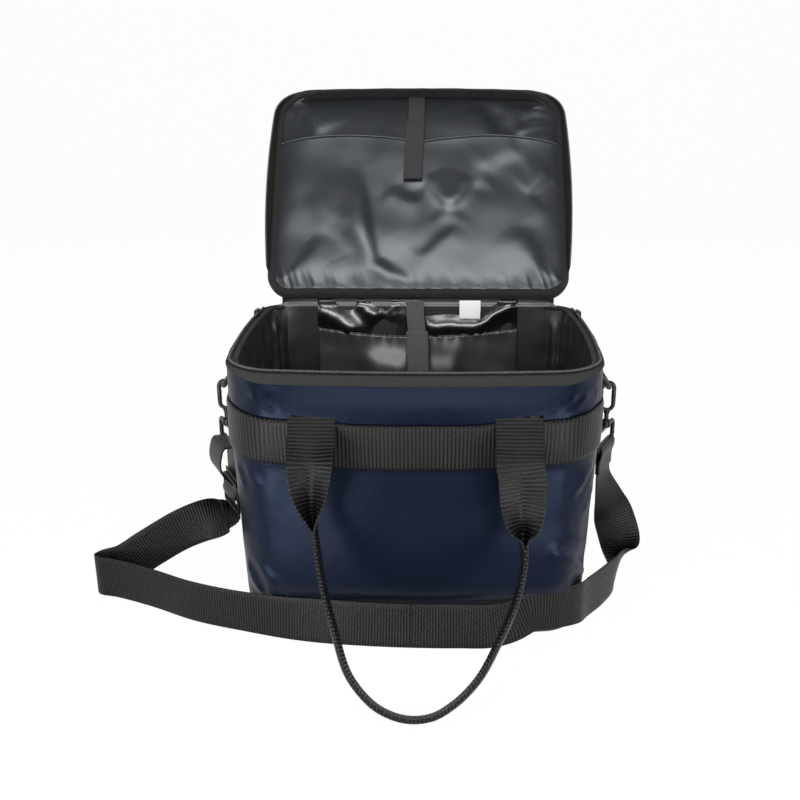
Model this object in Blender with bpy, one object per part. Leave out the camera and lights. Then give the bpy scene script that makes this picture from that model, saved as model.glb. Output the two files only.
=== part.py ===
"""Soft insulated cooler bag with a zipped lid, two webbing handles and a shoulder strap.

Metres, +Z up. The front faces -Y and +X is to the right of someone looking at the front.
The origin lies on the floor under the middle of the bag. The lid stands open.
"""

import math

import bmesh
import bpy
import numpy as np
from mathutils import Vector

# Body: plan at the rim, height, and how the walls lean and swell
BODY_WIDTH = 0.292
BODY_DEPTH = 0.225
BODY_HEIGHT = 0.232
SIDE_BOW = 0.0068
FRONT_BOW = 0.009
FRONT_CORNER = 0.034
BACK_CORNER = 0.022
BASE_TAPER = 0.007
BELLY = 0.002
BASE_EDGE = 0.009

# Layers of the wall and the gap left between touching layers
FIT = 0.0003
SHELL = 0.0012
FOAM = 0.005
LINER = 0.0008
BASE_FOAM = 0.005

# Zip round the rim
RIM_BAND = 0.012
COIL_RADIUS = 0.0015
COIL_GAP = 0.0022
COIL_INSET = 0.0021
SLIDER_LENGTH = 0.011
SLIDER_PLATE = 0.0012
SLIDER_SETBACK = 0.0385
CROWN_WIDTH = 0.0026
PULL_LENGTH = 0.022
PULL_WIDTH = 0.007
PULL_TIP_THICK = 0.0008
PULL_BAR = 0.0008
PULL_WINDOW = 0.0040

# Lid
LID_THICK = 0.008
LID_SKIN = 0.0008
LID_FRONT_BOW = 0.0035
LID_LEAN = math.radians(37.5)
BINDING = 0.001
BINDING_LIP = 0.010
ZIP_TAPE = 0.0008
HINGE_RISE = 0.0135
HINGE_WIDTH = 0.262
HINGE_TAPE = 0.001

# Webbing
WEB_WIDTH = 0.038
WEB_THICK = 0.0015
BELT_TOP = 0.191
ANCHOR_THICK = 0.0009
ANCHOR_RISE = 0.007

# Handles
HANDLE_SPREAD = 0.080
HANDLE_SLOPE = math.radians(60.0)
HANDLE_FOLDED_WIDTH = 0.018
HANDLE_FOLDED_THICK = 0.0034
HANDLE_REACH = 0.2215
# Loop of a handle from leg to leg: share of the spread, share of the reach, share of the quarter twist
HANDLE_CURVE = (
    (-0.99, 0.0, 0.0), (-0.99, 0.14, 0.0), (-0.98, 0.27, 0.1), (-0.94, 0.38, 0.8), (-0.85, 0.55, 1.0),
    (-0.73, 0.70, 1.0), (-0.54, 0.88, 1.0), (-0.28, 0.97, 1.0), (0.0, 1.0, 1.0), (0.20, 0.99, 1.0),
    (0.39, 0.95, 1.0), (0.59, 0.88, 1.0), (0.80, 0.75, 1.0), (1.0, 0.58, 1.0), (1.06, 0.45, 0.8),
    (1.04, 0.32, 0.1), (1.01, 0.16, 0.0), (1.01, 0.0, 0.0),
)

# Pockets with their straps
PANEL_THICK = 0.0008
PATCH_THICK = 0.0007
CLOSURE_THICK = 0.0012
REAR_POCKET_WIDTH = 0.192
REAR_POCKET_FOOT = 0.060
REAR_POCKET_TOP = 0.203
REAR_POCKET_RISE = 0.008
REAR_FILM_RISE = 0.0065
LABEL_WIDTH = 0.020
LABEL_HEIGHT = 0.0185
LABEL_X = 0.050
LID_POCKET_SETBACK = 0.0633
LID_POCKET_SCALLOP = 0.010
NARROW_TAPE = 0.017
WIDE_TAPE = 0.020
REAR_NARROW_LENGTH = 0.030
REAR_WIDE_LENGTH = 0.040
LID_NARROW_LENGTH = 0.037
LID_WIDE_LENGTH = 0.063
LID_STRAP_SETBACK = 0.001

# Strap hardware
TAB_WIDTH = 0.028
TAB_THICK = 0.0014
TAB_RISE = 0.012
TAB_WRAP_END = math.radians(-50.0)
RING_WIRE = 0.002
RING_HALF_WIDTH = 0.020
RING_CORNER = 0.004
RING_DROP = 0.021
RING_TILT = math.radians(36.0)
HOOK_WIRE = 0.0017
HOOK_ARC = 0.0063
HOOK_BACK = 0.015
GATE_WIRE = 0.0014
NOSE_DROP = 0.001
GATE_GAP = 0.0006
SHANK_RADIUS = 0.002
SHANK_LENGTH = 0.013
EYE_WIRE = 0.002
EYE_WIDTH = 0.044
EYE_HEIGHT = 0.018
EYE_CORNER = 0.003
EYE_YAW = math.radians(64.0)
BOSS_RADIUS = 0.0042
BOSS_HEIGHT = 0.0045
RIGHT_LOOP_LENGTH = 0.022
LEFT_LOOP_LENGTH = 0.034
LEFT_LOOP_BULGE = 0.0125
LEFT_LOOP_SLACK = 0.0009
STRAP_LEAD = 0.006
SLIDE_WIDTH = 0.046
SLIDE_HEIGHT = 0.030
SLIDE_BAR = 0.003
SLIDE_THICK = 0.003

# Route of the shoulder strap's middle line on the floor, each point with its width direction
STRAP_ROUTE = (
    ((0.176, 0.001, 0.075), (0.80, 0.60, 0.0)),
    ((0.183, 0.002, 0.056), (1.0, 0.1, 0.0)),
    ((0.188, -0.002, 0.038), (0.85, -0.1, 0.5)),
    ((0.187, -0.014, 0.0245), (0.4, 0.0, 0.9)),
    ((0.180, -0.034, 0.0205), (0.1, 0.0, 1.0)),
    ((0.167, -0.056, 0.0205), (0.0, 0.0, 1.0)),
    ((0.149, -0.083, 0.0230), (0.0, 0.0, 1.0)),
    ((0.139, -0.1005, 0.0265), (0.0, 0.0, 1.0)),
    ((0.120, -0.1135, 0.0290), (0.0, 0.0, 1.0)),
    ((0.096, -0.1205, 0.0285), (0.0, 0.0, 1.0)),
    ((0.082, -0.1245, 0.0230), (0.0, 0.05, 1.0)),
    ((0.067, -0.1270, 0.0200), (0.0, 0.15, 1.0)),
    ((0.036, -0.1280, 0.0195), (0.0, 0.20, 1.0)),
    ((0.000, -0.1280, 0.0195), (0.0, 0.18, 1.0)),
    ((-0.040, -0.1255, 0.0195), (0.0, 0.20, 1.0)),
    ((-0.078, -0.1210, 0.0195), (0.0, 0.22, 1.0)),
    ((-0.105, -0.1170, 0.0195), (0.0, 0.10, 1.0)),
    ((-0.140, -0.108, 0.0195), (0.0, 0.0, 1.0)),
    ((-0.188, -0.091, 0.0195), (0.0, 0.0, 1.0)),
    ((-0.234, -0.066, 0.0195), (0.0, 0.0, 1.0)),
    ((-0.270, -0.050, 0.0195), (0.0, 0.0, 1.0)),
    ((-0.284, -0.0455, 0.0195), (0.0, 0.0, 1.0)),
    ((-0.2875, -0.041, 0.0195), (0.0, 0.0, 1.0)),
    ((-0.284, -0.0365, 0.0200), (0.0, 0.0, 1.0)),
    ((-0.264, -0.0325, 0.0245), (-0.2, 0.0, 0.97)),
    ((-0.241, -0.026, 0.0350), (-0.3, 0.0, 0.95)),
    ((-0.209, -0.013, 0.0485), (-0.4, 0.1, 0.90)),
    ((-0.191, -0.006, 0.0515), (-0.42, 0.4, 0.70)),
    ((-0.179, -0.0025, 0.0520), (-0.44, 0.75, 0.35)),
    ((-0.1715, -0.0005, 0.0550), (-0.44, 0.88, 0.10)),
)

# Facets
SIDE_STEPS = 6
FRONT_STEPS = 8
CORNER_STEPS = 4
BACK_STEPS = 2
WALL_STEPS = 4
PANEL_STEPS = 8
WRAP_STEPS = 8
BOW_STEPS = 10
ROUTE_STEPS = 2
HANDLE_STEPS = 3
TUBE_SIDES = 8
COIL_SIDES = 6
PULL_EYE_STEPS = 5
LOOP_STEPS = 4
ANCHOR_STEPS = 2
EYE_CORNER_STEPS = 2

# Values worked out from the sizes above
FOAM_INSET = SHELL + FIT
LINER_INSET = FOAM_INSET + FOAM + FIT
WALL = LINER_INSET + LINER
RIM_BASE = BODY_HEIGHT - RIM_BAND
WALL_FOOT = BASE_EDGE + FIT
FLOOR_FOAM_FOOT = SHELL + FIT
FLOOR_LINER_FOOT = FLOOR_FOAM_FOOT + BASE_FOAM + FIT
BODY_COIL_Z = BODY_HEIGHT + FIT + COIL_RADIUS
LID_COIL_Z = BODY_COIL_Z + 2 * COIL_RADIUS + COIL_GAP
ZIP_MID_Z = (BODY_COIL_Z + LID_COIL_Z) / 2
SLIDER_PARK = BODY_DEPTH / 2 - SLIDER_SETBACK
HINGE_Y = BODY_DEPTH / 2 + FIT
HINGE_Z = BODY_HEIGHT + HINGE_RISE
LID_FACE = HINGE_Z + FIT
LID_OPEN = math.pi / 2 + LID_LEAN
REAR_FILM_TOP = BODY_HEIGHT + REAR_FILM_RISE
BELT_FOOT = BELT_TOP - WEB_WIDTH
BELT_STANDOFF = FIT + ANCHOR_THICK + FIT
LOOP_BEND = EYE_WIRE + 2 * FIT + WEB_THICK / 2
BASE_TURNS = [math.radians(t) for t in (0.0, 45.0, 90.0)]
OPEN_RUN = 2 * (SIDE_STEPS + 1) + 2 * (CORNER_STEPS - 1) + FRONT_STEPS + 1

NAVY = ((0.030, 0.040, 0.105), 0.38, 0.0)
LINING_GREY = ((0.060, 0.062, 0.068), 0.42, 0.0)
FOAM_GREY = ((0.55, 0.55, 0.55), 0.9, 0.0)
BLACK_TAPE = ((0.022, 0.022, 0.022), 0.8, 0.0)
BLACK_WEBBING = ((0.025, 0.025, 0.024), 0.78, 0.0)
BLACK_FILM = ((0.010, 0.010, 0.011), 0.15, 0.0)
BLACK_NYLON = ((0.020, 0.020, 0.021), 0.35, 0.0)
BLACK_METAL = ((0.045, 0.045, 0.047), 0.32, 0.85)
LABEL_WHITE = ((0.85, 0.85, 0.84), 0.7, 0.0)


def clear_scene():
    for item in list(bpy.data.objects):
        bpy.data.objects.remove(item, do_unlink=True)


def make_material(name, finish):
    colour, roughness, metallic = finish
    material = bpy.data.materials.new(name)
    material.use_nodes = True
    shader = material.node_tree.nodes["Principled BSDF"]
    shader.inputs["Base Color"].default_value = (*colour, 1.0)
    shader.inputs["Roughness"].default_value = roughness
    shader.inputs["Metallic"].default_value = metallic
    return material


def make_object(name, points, faces, finish, pivot=None):
    """Closed solid from points in world coordinates at the pivot's zero turn."""
    origin = pivot["place"] if pivot else Vector((0, 0, 0))
    mesh = bpy.data.meshes.new(name)
    mesh.from_pydata([Vector(p) - origin for p in points], [], faces)
    work = bmesh.new()
    work.from_mesh(mesh)
    bmesh.ops.recalc_face_normals(work, faces=work.faces)
    work.to_mesh(mesh)
    work.free()
    mesh.shade_smooth()
    mesh.set_sharp_from_angle(angle=math.radians(35))
    mesh.materials.append(make_material(name, finish))
    item = bpy.data.objects.new(name, mesh)
    bpy.context.scene.collection.objects.link(item)
    if pivot:
        item.parent = pivot["empty"]
    return item


def make_pivot(name, place, parent=None, turn=0.0, axis="X"):
    """Empty on a joint's axis. Pieces made on it are drawn before the turn is applied."""
    empty = bpy.data.objects.new(name, None)
    bpy.context.scene.collection.objects.link(empty)
    place = Vector(place)
    offset = place - parent["place"] if parent else place
    empty.location = offset
    empty.rotation_euler["XYZ".index(axis)] = turn
    if parent:
        empty.parent = parent["empty"]
    return {"empty": empty, "place": place}


def loft(rings, looped=False):
    """Skin over rings of equal length; the ends are capped unless the rings loop."""
    count = len(rings[0])
    points = [p for ring in rings for p in ring]
    faces = []
    spans = len(rings) if looped else len(rings) - 1
    for k in range(spans):
        low = k * count
        high = (k + 1) % len(rings) * count
        for i in range(count):
            j = (i + 1) % count
            faces.append((low + i, low + j, high + j, high + i))
    if not looped:
        faces.append(tuple(range(count)))
        faces.append(tuple(range(len(points) - count, len(points))))
    return points, faces


def blend_between(a, b, share):
    return a + (b - a) * share


def steps(start, end, count):
    return [blend_between(start, end, k / count) for k in range(count + 1)]


def arc(centre, radius, start, end, count):
    """Points strictly between the two ends of an arc."""
    turns = steps(start, end, count)[1:-1]
    return [(centre[0] + radius * math.cos(t), centre[1] + radius * math.sin(t)) for t in turns]


def plan(inset, side_bow, front_bow):
    """Outline of the bag seen from above, from the back left, round the front, to the back."""
    half = BODY_WIDTH / 2 - inset
    deep = BODY_DEPTH / 2 - inset
    front = FRONT_CORNER - inset
    back = BACK_CORNER - inset
    quarter = math.pi / 2
    outline = [(-half, y) for y in steps(deep - back, front - deep, SIDE_STEPS)]
    outline += arc((front - half, front - deep), front, 2 * quarter, 3 * quarter, CORNER_STEPS)
    outline += [(x, -deep) for x in steps(front - half, half - front, FRONT_STEPS)]
    outline += arc((half - front, front - deep), front, 3 * quarter, 4 * quarter, CORNER_STEPS)
    outline += [(half, y) for y in steps(front - deep, deep - back, SIDE_STEPS)]
    outline += arc((half - back, deep - back), back, 0, quarter, CORNER_STEPS)
    outline += [(x, deep) for x in steps(half - back, back - half, BACK_STEPS)]
    outline += arc((back - half, deep - back), back, quarter, 2 * quarter, CORNER_STEPS)
    bowed = []
    for x, y in outline:
        out = side_bow * (1 - (y / deep) ** 2) * x / half
        forward = front_bow * (1 - (x / half) ** 2) * min(y, 0) / deep
        bowed.append((x + out, y + forward))
    return bowed


def lean_in(z):
    """How far the wall stands inside the rim's outline at a height."""
    share = min(max(z / BODY_HEIGHT, 0.0), 1.0)
    return BASE_TAPER * (1 - share) - BELLY * math.sin(math.pi * share)


def body_ring(inset, z):
    return [(x, y, z) for x, y in plan(inset + lean_in(z), SIDE_BOW, FRONT_BOW)]


def lid_ring(inset, z):
    return [(x, y, z) for x, y in plan(inset, 0.0, LID_FRONT_BOW)]


def side_x(z, y=0.0):
    deep = BODY_DEPTH / 2 - lean_in(z)
    return BODY_WIDTH / 2 - lean_in(z) + SIDE_BOW * (1 - (y / deep) ** 2)


def front_y(x, z):
    half = BODY_WIDTH / 2 - lean_in(z)
    return lean_in(z) - BODY_DEPTH / 2 - FRONT_BOW * (1 - (x / half) ** 2)


def back_y(z):
    return BODY_DEPTH / 2 - lean_in(z)


def round_plan(profile_rings, run=None):
    """Sweep a profile, given as one outline for each of its corners, round the plan."""
    sections = [list(section) for section in zip(*profile_rings)]
    if run:
        return loft(sections[:run])
    return loft(sections, looped=True)


def wall_tube(name, outer, inner, foot, top, finish):
    heights = steps(foot, top, WALL_STEPS)
    rings = [body_ring(outer, z) for z in heights]
    rings += [body_ring(inner, z) for z in reversed(heights)]
    make_object(name, *round_plan(rings), finish)


def make_body():
    """Shell, foam and lining of the walls and the bottom, the rim with its zip, and the belt."""
    wall_tube("outer_shell", 0.0, SHELL, WALL_FOOT, RIM_BASE - FIT, NAVY)
    cap = BODY_HEIGHT - SHELL - FIT
    wall_tube("wall_foam", FOAM_INSET, FOAM_INSET + FOAM, WALL_FOOT, cap, FOAM_GREY)
    liner_foot = FLOOR_LINER_FOOT + LINER + FIT
    wall_tube("liner_wall", LINER_INSET, WALL, liner_foot, cap, LINING_GREY)

    dish = []
    for radius, turns in ((BASE_EDGE, BASE_TURNS), (BASE_EDGE - SHELL, BASE_TURNS[::-1])):
        wall = BASE_EDGE - radius
        for t in turns:
            dish.append(body_ring(wall + radius * (1 - math.sin(t)), wall + radius * (1 - math.cos(t))))
    make_object("base_panel", *loft(dish), NAVY)
    pad = BASE_EDGE + SHELL
    slab = [body_ring(pad, FLOOR_FOAM_FOOT), body_ring(pad, FLOOR_FOAM_FOOT + BASE_FOAM)]
    make_object("base_foam", *loft(slab), FOAM_GREY)
    floor = [
        body_ring(LINER_INSET, FLOOR_LINER_FOOT),
        body_ring(LINER_INSET, FLOOR_LINER_FOOT + LINER),
    ]
    make_object("liner_floor", *loft(floor), LINING_GREY)

    rim = [
        body_ring(0.0, RIM_BASE),
        body_ring(0.0, BODY_HEIGHT),
        body_ring(WALL, BODY_HEIGHT),
        body_ring(WALL, BODY_HEIGHT - SHELL),
        body_ring(SHELL, BODY_HEIGHT - SHELL),
        body_ring(SHELL, RIM_BASE),
    ]
    make_object("rim_tape", *round_plan(rim), BLACK_TAPE)
    make_object("body_zip_coil", *coil(BODY_COIL_Z), BLACK_NYLON)

    back = BODY_DEPTH / 2
    low = BODY_HEIGHT + FIT
    high = HINGE_Z - FIT
    section = [(back - HINGE_TAPE, low), (back, low), (back, high), (back - HINGE_TAPE, high)]
    ends = [[(x, y, z) for y, z in section] for x in (-HINGE_WIDTH / 2, HINGE_WIDTH / 2)]
    make_object("hinge_strip", *loft(ends), BLACK_TAPE)

    belt = [
        body_ring(-BELT_STANDOFF, BELT_FOOT),
        body_ring(-BELT_STANDOFF, BELT_TOP),
        body_ring(-BELT_STANDOFF - WEB_THICK, BELT_TOP),
        body_ring(-BELT_STANDOFF - WEB_THICK, BELT_FOOT),
    ]
    make_object("belt", *round_plan(belt), BLACK_WEBBING)


def coil(z):
    """Half of the zip: a bead along the rim from one back corner round to the other."""
    rings = []
    for k in range(COIL_SIDES):
        turn = 2 * math.pi * k / COIL_SIDES
        inset = COIL_INSET + COIL_RADIUS * math.cos(turn)
        height = z + COIL_RADIUS * math.sin(turn)
        rings.append([(x, y, height) for x, y, _ in body_ring(inset, BODY_HEIGHT)])
    return round_plan(rings, OPEN_RUN)


def make_lid():
    pivot = make_pivot("lid_pivot", (0, HINGE_Y, HINGE_Z), turn=-LID_OPEN)
    top = LID_FACE + LID_THICK
    channel = [
        lid_ring(BINDING_LIP, LID_FACE),
        lid_ring(0.0, LID_FACE),
        lid_ring(0.0, top),
        lid_ring(BINDING_LIP, top),
        lid_ring(BINDING_LIP, top - BINDING),
        lid_ring(BINDING, top - BINDING),
        lid_ring(BINDING, LID_FACE + BINDING),
        lid_ring(BINDING_LIP, LID_FACE + BINDING),
    ]
    make_object("lid_binding", *round_plan(channel), BLACK_TAPE, pivot)

    edge = BINDING + FIT
    lining_foot = LID_FACE + BINDING + FIT
    foam_foot = lining_foot + LID_SKIN + FIT
    cover_foot = top - BINDING - FIT - LID_SKIN
    layers = (
        ("lid_lining", lining_foot, lining_foot + LID_SKIN, LINING_GREY),
        ("lid_foam", foam_foot, cover_foot - FIT, FOAM_GREY),
        ("lid_cover", cover_foot, cover_foot + LID_SKIN, NAVY),
    )
    for name, low, high, finish in layers:
        make_object(name, *loft([lid_ring(edge, low), lid_ring(edge, high)]), finish, pivot)

    tape_foot = LID_COIL_Z + COIL_RADIUS + FIT
    coil_side = COIL_INSET - ZIP_TAPE / 2
    tape = [
        [(x, y, tape_foot) for x, y, _ in body_ring(coil_side, BODY_HEIGHT)],
        lid_ring(coil_side, LID_FACE - FIT),
        lid_ring(coil_side + ZIP_TAPE, LID_FACE - FIT),
        [(x, y, tape_foot) for x, y, _ in body_ring(coil_side + ZIP_TAPE, BODY_HEIGHT)],
    ]
    make_object("lid_zip_tape", *round_plan(tape, OPEN_RUN), BLACK_TAPE, pivot)
    make_object("lid_zip_coil", *coil(LID_COIL_Z), BLACK_NYLON, pivot)
    make_lid_pocket(pivot, lining_foot)


def make_lid_pocket(pivot, lining_foot):
    """Pocket panel on the lining, with a two-scallop mouth, and its hook-and-loop strap."""
    half = BODY_WIDTH / 2 - BINDING_LIP - FIT
    corner = BACK_CORNER - BINDING_LIP
    back = BODY_DEPTH / 2 - BINDING_LIP - FIT
    high = lining_foot - FIT
    low = high - PANEL_THICK
    columns = []
    for x in steps(-half, half, 2 * FRONT_STEPS):
        past = max(abs(x) - (half - corner), 0.0)
        rear = back - corner + math.sqrt(max(corner ** 2 - past ** 2, 0.0))
        bump = LID_POCKET_SCALLOP * abs(math.sin(math.pi * x / half))
        mouth = LID_POCKET_SETBACK - BODY_DEPTH / 2 - bump
        columns.append([(x, rear, low), (x, rear, high), (x, mouth, high), (x, mouth, low)])
    make_object("lid_pocket", *loft(columns), LINING_GREY, pivot)

    strap_high = low - FIT - PATCH_THICK - FIT
    sewn = -BODY_DEPTH / 2 - LID_FRONT_BOW + BINDING_LIP + LID_STRAP_SETBACK
    hinge = make_pivot("lid_strap_pivot", (0, sewn, strap_high), pivot)
    outline = closure_outline(LID_NARROW_LENGTH, LID_WIDE_LENGTH)
    lower = [(x, sewn + run, strap_high - CLOSURE_THICK) for x, run in outline]
    upper = [(x, sewn + run, strap_high) for x, run in outline]
    make_object("lid_pocket_strap", *loft([lower, upper]), BLACK_WEBBING, hinge)

    patch_end = sewn + LID_NARROW_LENGTH + LID_WIDE_LENGTH
    patch_start = LID_POCKET_SETBACK - BODY_DEPTH / 2 + FIT
    patch = [(-WIDE_TAPE / 2, patch_start), (WIDE_TAPE / 2, patch_start)]
    patch += [(WIDE_TAPE / 2, patch_end), (-WIDE_TAPE / 2, patch_end)]
    sheets = [[(x, y, z) for x, y in patch] for z in (low - FIT - PATCH_THICK, low - FIT)]
    make_object("lid_hook_patch", *loft(sheets), BLACK_WEBBING, pivot)


def closure_outline(narrow_length, wide_length):
    """Closing strap laid flat: a narrow tape that runs into a wider loop part."""
    narrow = NARROW_TAPE / 2
    wide = WIDE_TAPE / 2
    end = narrow_length + wide_length
    left = [(-wide, end), (-wide, narrow_length), (-narrow, narrow_length), (-narrow, 0.0)]
    return left + [(-x, run) for x, run in reversed(left)]


def back_panel(name, half, foot, top_edge, depth, thick, finish, centre=0.0, columns=PANEL_STEPS):
    """Sheet on the inside of the back wall; depth is measured from the wall's outer face."""
    profiles = []
    for x in steps(-half, half, columns):
        heights = steps(foot, top_edge(x), WALL_STEPS)
        outer = [(centre + x, back_y(z) - depth, z) for z in heights]
        inner = [(centre + x, back_y(z) - depth - thick, z) for z in reversed(heights)]
        profiles.append(outer + inner)
    make_object(name, *loft(profiles), finish)


def make_rear_pocket():
    half = REAR_POCKET_WIDTH / 2
    film = WALL + FIT
    pocket = film + PANEL_THICK + FIT
    patch = pocket + PANEL_THICK + FIT
    strap = patch + PATCH_THICK + FIT
    back_panel("rear_film", half, REAR_POCKET_FOOT, lambda x: REAR_FILM_TOP, film, PANEL_THICK, BLACK_FILM)

    def mouth(x):
        return REAR_POCKET_TOP + REAR_POCKET_RISE * (x / half) ** 2

    back_panel("rear_pocket", half, REAR_POCKET_FOOT, mouth, pocket, PANEL_THICK, LINING_GREY)
    sewn = REAR_FILM_TOP
    end = sewn - REAR_NARROW_LENGTH - REAR_WIDE_LENGTH
    wide = WIDE_TAPE / 2
    back_panel("rear_hook_patch", wide, end, lambda x: REAR_POCKET_TOP - FIT, patch, PATCH_THICK,
               BLACK_WEBBING, columns=1)
    label_top = REAR_FILM_TOP
    back_panel("care_label", LABEL_WIDTH / 2, label_top - LABEL_HEIGHT, lambda x: label_top,
               film + PANEL_THICK + FIT, PANEL_THICK / 2, LABEL_WHITE, centre=LABEL_X, columns=1)

    face = back_y(end) - strap
    hinge = make_pivot("rear_strap_pivot", (0, face, sewn))
    outline = closure_outline(REAR_NARROW_LENGTH, REAR_WIDE_LENGTH)
    rear = [(x, face, sewn - run) for x, run in outline]
    near = [(x, face - CLOSURE_THICK, sewn - run) for x, run in outline]
    make_object("rear_pocket_strap", *loft([rear, near]), BLACK_WEBBING, hinge)


def make_slider(side, name):
    """Zip slider straddling the coil, its crown, and the pull whose bar hangs under the crown."""
    gap = COIL_RADIUS + FIT
    far = gap + SLIDER_PLATE
    tall = 2 * COIL_RADIUS + COIL_GAP / 2
    post = COIL_GAP / 2 - FIT
    middle = coil_x(SLIDER_PARK)
    pivot = make_pivot(name + "_zip_pivot", (side * zip_centre_x(), 0, ZIP_MID_Z))

    def extrude(profile, width):
        """Solid along the rim from a section of (outward, upward) points, centred on the slider."""
        ends = []
        for y in (SLIDER_PARK - width / 2, SLIDER_PARK + width / 2):
            ends.append([(side * (coil_x(y) + u), y, ZIP_MID_Z + w) for u, w in profile])
        return loft(ends)

    section = [(gap, -tall), (far, -tall), (far, tall), (gap, tall), (gap, post), (-gap, post)]
    section += [(-u, -w) for u, w in section]
    slider = make_object(name + "_zip_slider", *extrude(section, SLIDER_LENGTH), BLACK_METAL, pivot)
    roof = tall - SLIDER_PLATE
    hook_in = far + 2 * (PULL_BAR + FIT)
    hook_out = hook_in + SLIDER_PLATE
    root = far - SLIDER_PLATE / 2
    crown = [(root, roof), (hook_in, roof), (hook_in, 0.0), (hook_out, 0.0), (hook_out, tall - FIT)]
    crown.append((root, tall - FIT))
    combine(slider, pivot, *extrude(crown, CROWN_WIDTH), "UNION")

    bar_u = far + PULL_BAR + FIT
    bar_w = roof - PULL_BAR - FIT
    hinge_place = (side * (middle + bar_u), SLIDER_PARK, ZIP_MID_Z + bar_w)
    hinge = make_pivot(name + "_pull_pivot", hinge_place, pivot)
    turns = steps(math.radians(-60), math.radians(240), PULL_EYE_STEPS)
    tab = [(bar_u + PULL_BAR * math.cos(t), bar_w + PULL_BAR * math.sin(t)) for t in turns]
    tip = PULL_TIP_THICK / 2
    tab += [(bar_u - tip, bar_w - PULL_LENGTH), (bar_u + tip, bar_w - PULL_LENGTH)]
    pull = make_object(name + "_zip_pull", *extrude(tab, PULL_WIDTH), BLACK_METAL, hinge)
    wide = 2 * PULL_BAR
    low = bar_w - PULL_BAR - PULL_WINDOW
    high = bar_w - PULL_BAR
    window = [(bar_u - wide, low), (bar_u + wide, low), (bar_u + wide, high), (bar_u - wide, high)]
    combine(pull, hinge, *extrude(window, CROWN_WIDTH + 4 * FIT), "DIFFERENCE")


def coil_x(y):
    """Distance of the coil from the middle plane along a side."""
    deep = BODY_DEPTH / 2 - COIL_INSET
    return BODY_WIDTH / 2 - COIL_INSET + SIDE_BOW * (1 - (y / deep) ** 2)


def zip_centre_x():
    """Centre of the circle that the bowed side follows, on the other side of the bag."""
    deep = BODY_DEPTH / 2 - COIL_INSET
    return coil_x(0.0) - deep ** 2 / (2 * SIDE_BOW)


def smooth_route(stations, count):
    """Smooth curve through stations of (point, width direction, width, thickness).

    Slopes are weighted by the spacing, so that the curve does not overshoot where stations are close.
    """
    values = [np.array([*point, *across, width, thick]) for point, across, width, thick in stations]
    chords = list(zip(values, values[1:]))
    gaps = [np.linalg.norm(b[:3] - a[:3]) for a, b in chords]
    rates = [(b - a) / gap for (a, b), gap in zip(chords, gaps)]
    slopes = [rates[0]]
    for k in range(1, len(rates)):
        share = gaps[k - 1] / (gaps[k - 1] + gaps[k])
        slopes.append(rates[k - 1] * (1 - share) + rates[k] * share)
    slopes.append(rates[-1])
    rows = []
    for k, (a, b) in enumerate(chords):
        for t in steps(0.0, 1.0, count)[:-1]:
            curve = a * (1 + 2 * t) * (1 - t) ** 2 + b * t ** 2 * (3 - 2 * t)
            lean = slopes[k] * t * (1 - t) ** 2 - slopes[k + 1] * t ** 2 * (1 - t)
            rows.append(curve + lean * gaps[k])
    rows.append(values[-1])
    return [(Vector(r[0:3]), Vector(r[3:6]), r[6], r[7]) for r in rows]


def ribbon(stations, count):
    """Flat strap along a route, its broad side along each station's width direction.

    The first and last stretches stay straight, so that the ends are cut square. Both broad sides
    are split along the same diagonals, so that they stay parallel where the strap twists.
    """
    route = [stations[0]] + smooth_route(stations[1:-1], count) + [stations[-1]]
    points = []
    for k, (point, across, width, thick) in enumerate(route):
        ahead = route[min(k + 1, len(route) - 1)][0] - route[max(k - 1, 0)][0]
        ahead.normalize()
        across = (across - ahead * across.dot(ahead)).normalized()
        u = across * width / 2
        v = ahead.cross(across) * thick / 2
        points += [point - u - v, point + u - v, point + u + v, point - u + v]
    faces = [(0, 1, 2, 3), tuple(len(points) - 4 + i for i in range(4))]
    for low in range(0, len(points) - 4, 4):
        high = low + 4
        for a, b in ((0, 1), (3, 2)):
            faces.append((low + a, low + b, high + b))
            faces.append((low + a, high + b, high + a))
        for a, b in ((1, 2), (3, 0)):
            faces.append((low + a, low + b, high + b, high + a))
    return points, faces


def tube(path, normal, radius, looped, sides=TUBE_SIDES):
    """Round wire along a path that lies in one plane."""
    path = [Vector(p) for p in path]
    normal = Vector(normal).normalized()
    last = len(path) - 1
    rings = []
    for k, point in enumerate(path):
        before = path[k - 1] if looped else path[max(k - 1, 0)]
        after = path[(k + 1) % len(path)] if looped else path[min(k + 1, last)]
        inward = normal.cross((after - before).normalized())
        ring = []
        for s in range(sides):
            turn = 2 * math.pi * s / sides
            ring.append(point + normal * radius * math.cos(turn) + inward * radius * math.sin(turn))
        rings.append(ring)
    return loft(rings, looped=looped)


def cylinder(foot, top, radius, sides=12):
    rings = []
    for centre in (Vector(foot), Vector(top)):
        ring = []
        for s in range(sides):
            turn = 2 * math.pi * s / sides
            ring.append(centre + Vector((radius * math.cos(turn), radius * math.sin(turn), 0)))
        rings.append(ring)
    return loft(rings)


def combine(item, pivot, points, faces, operation):
    """Join a second solid to a piece, or cut it out, with an exact Boolean."""
    tool = make_object(item.name + "_" + operation.lower(), points, faces, BLACK_METAL, pivot)
    tool.hide_render = True
    tool.display_type = "WIRE"
    modifier = item.modifiers.new(operation.lower(), "BOOLEAN")
    modifier.operation = operation
    modifier.object = tool
    modifier.solver = "EXACT"


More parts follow.
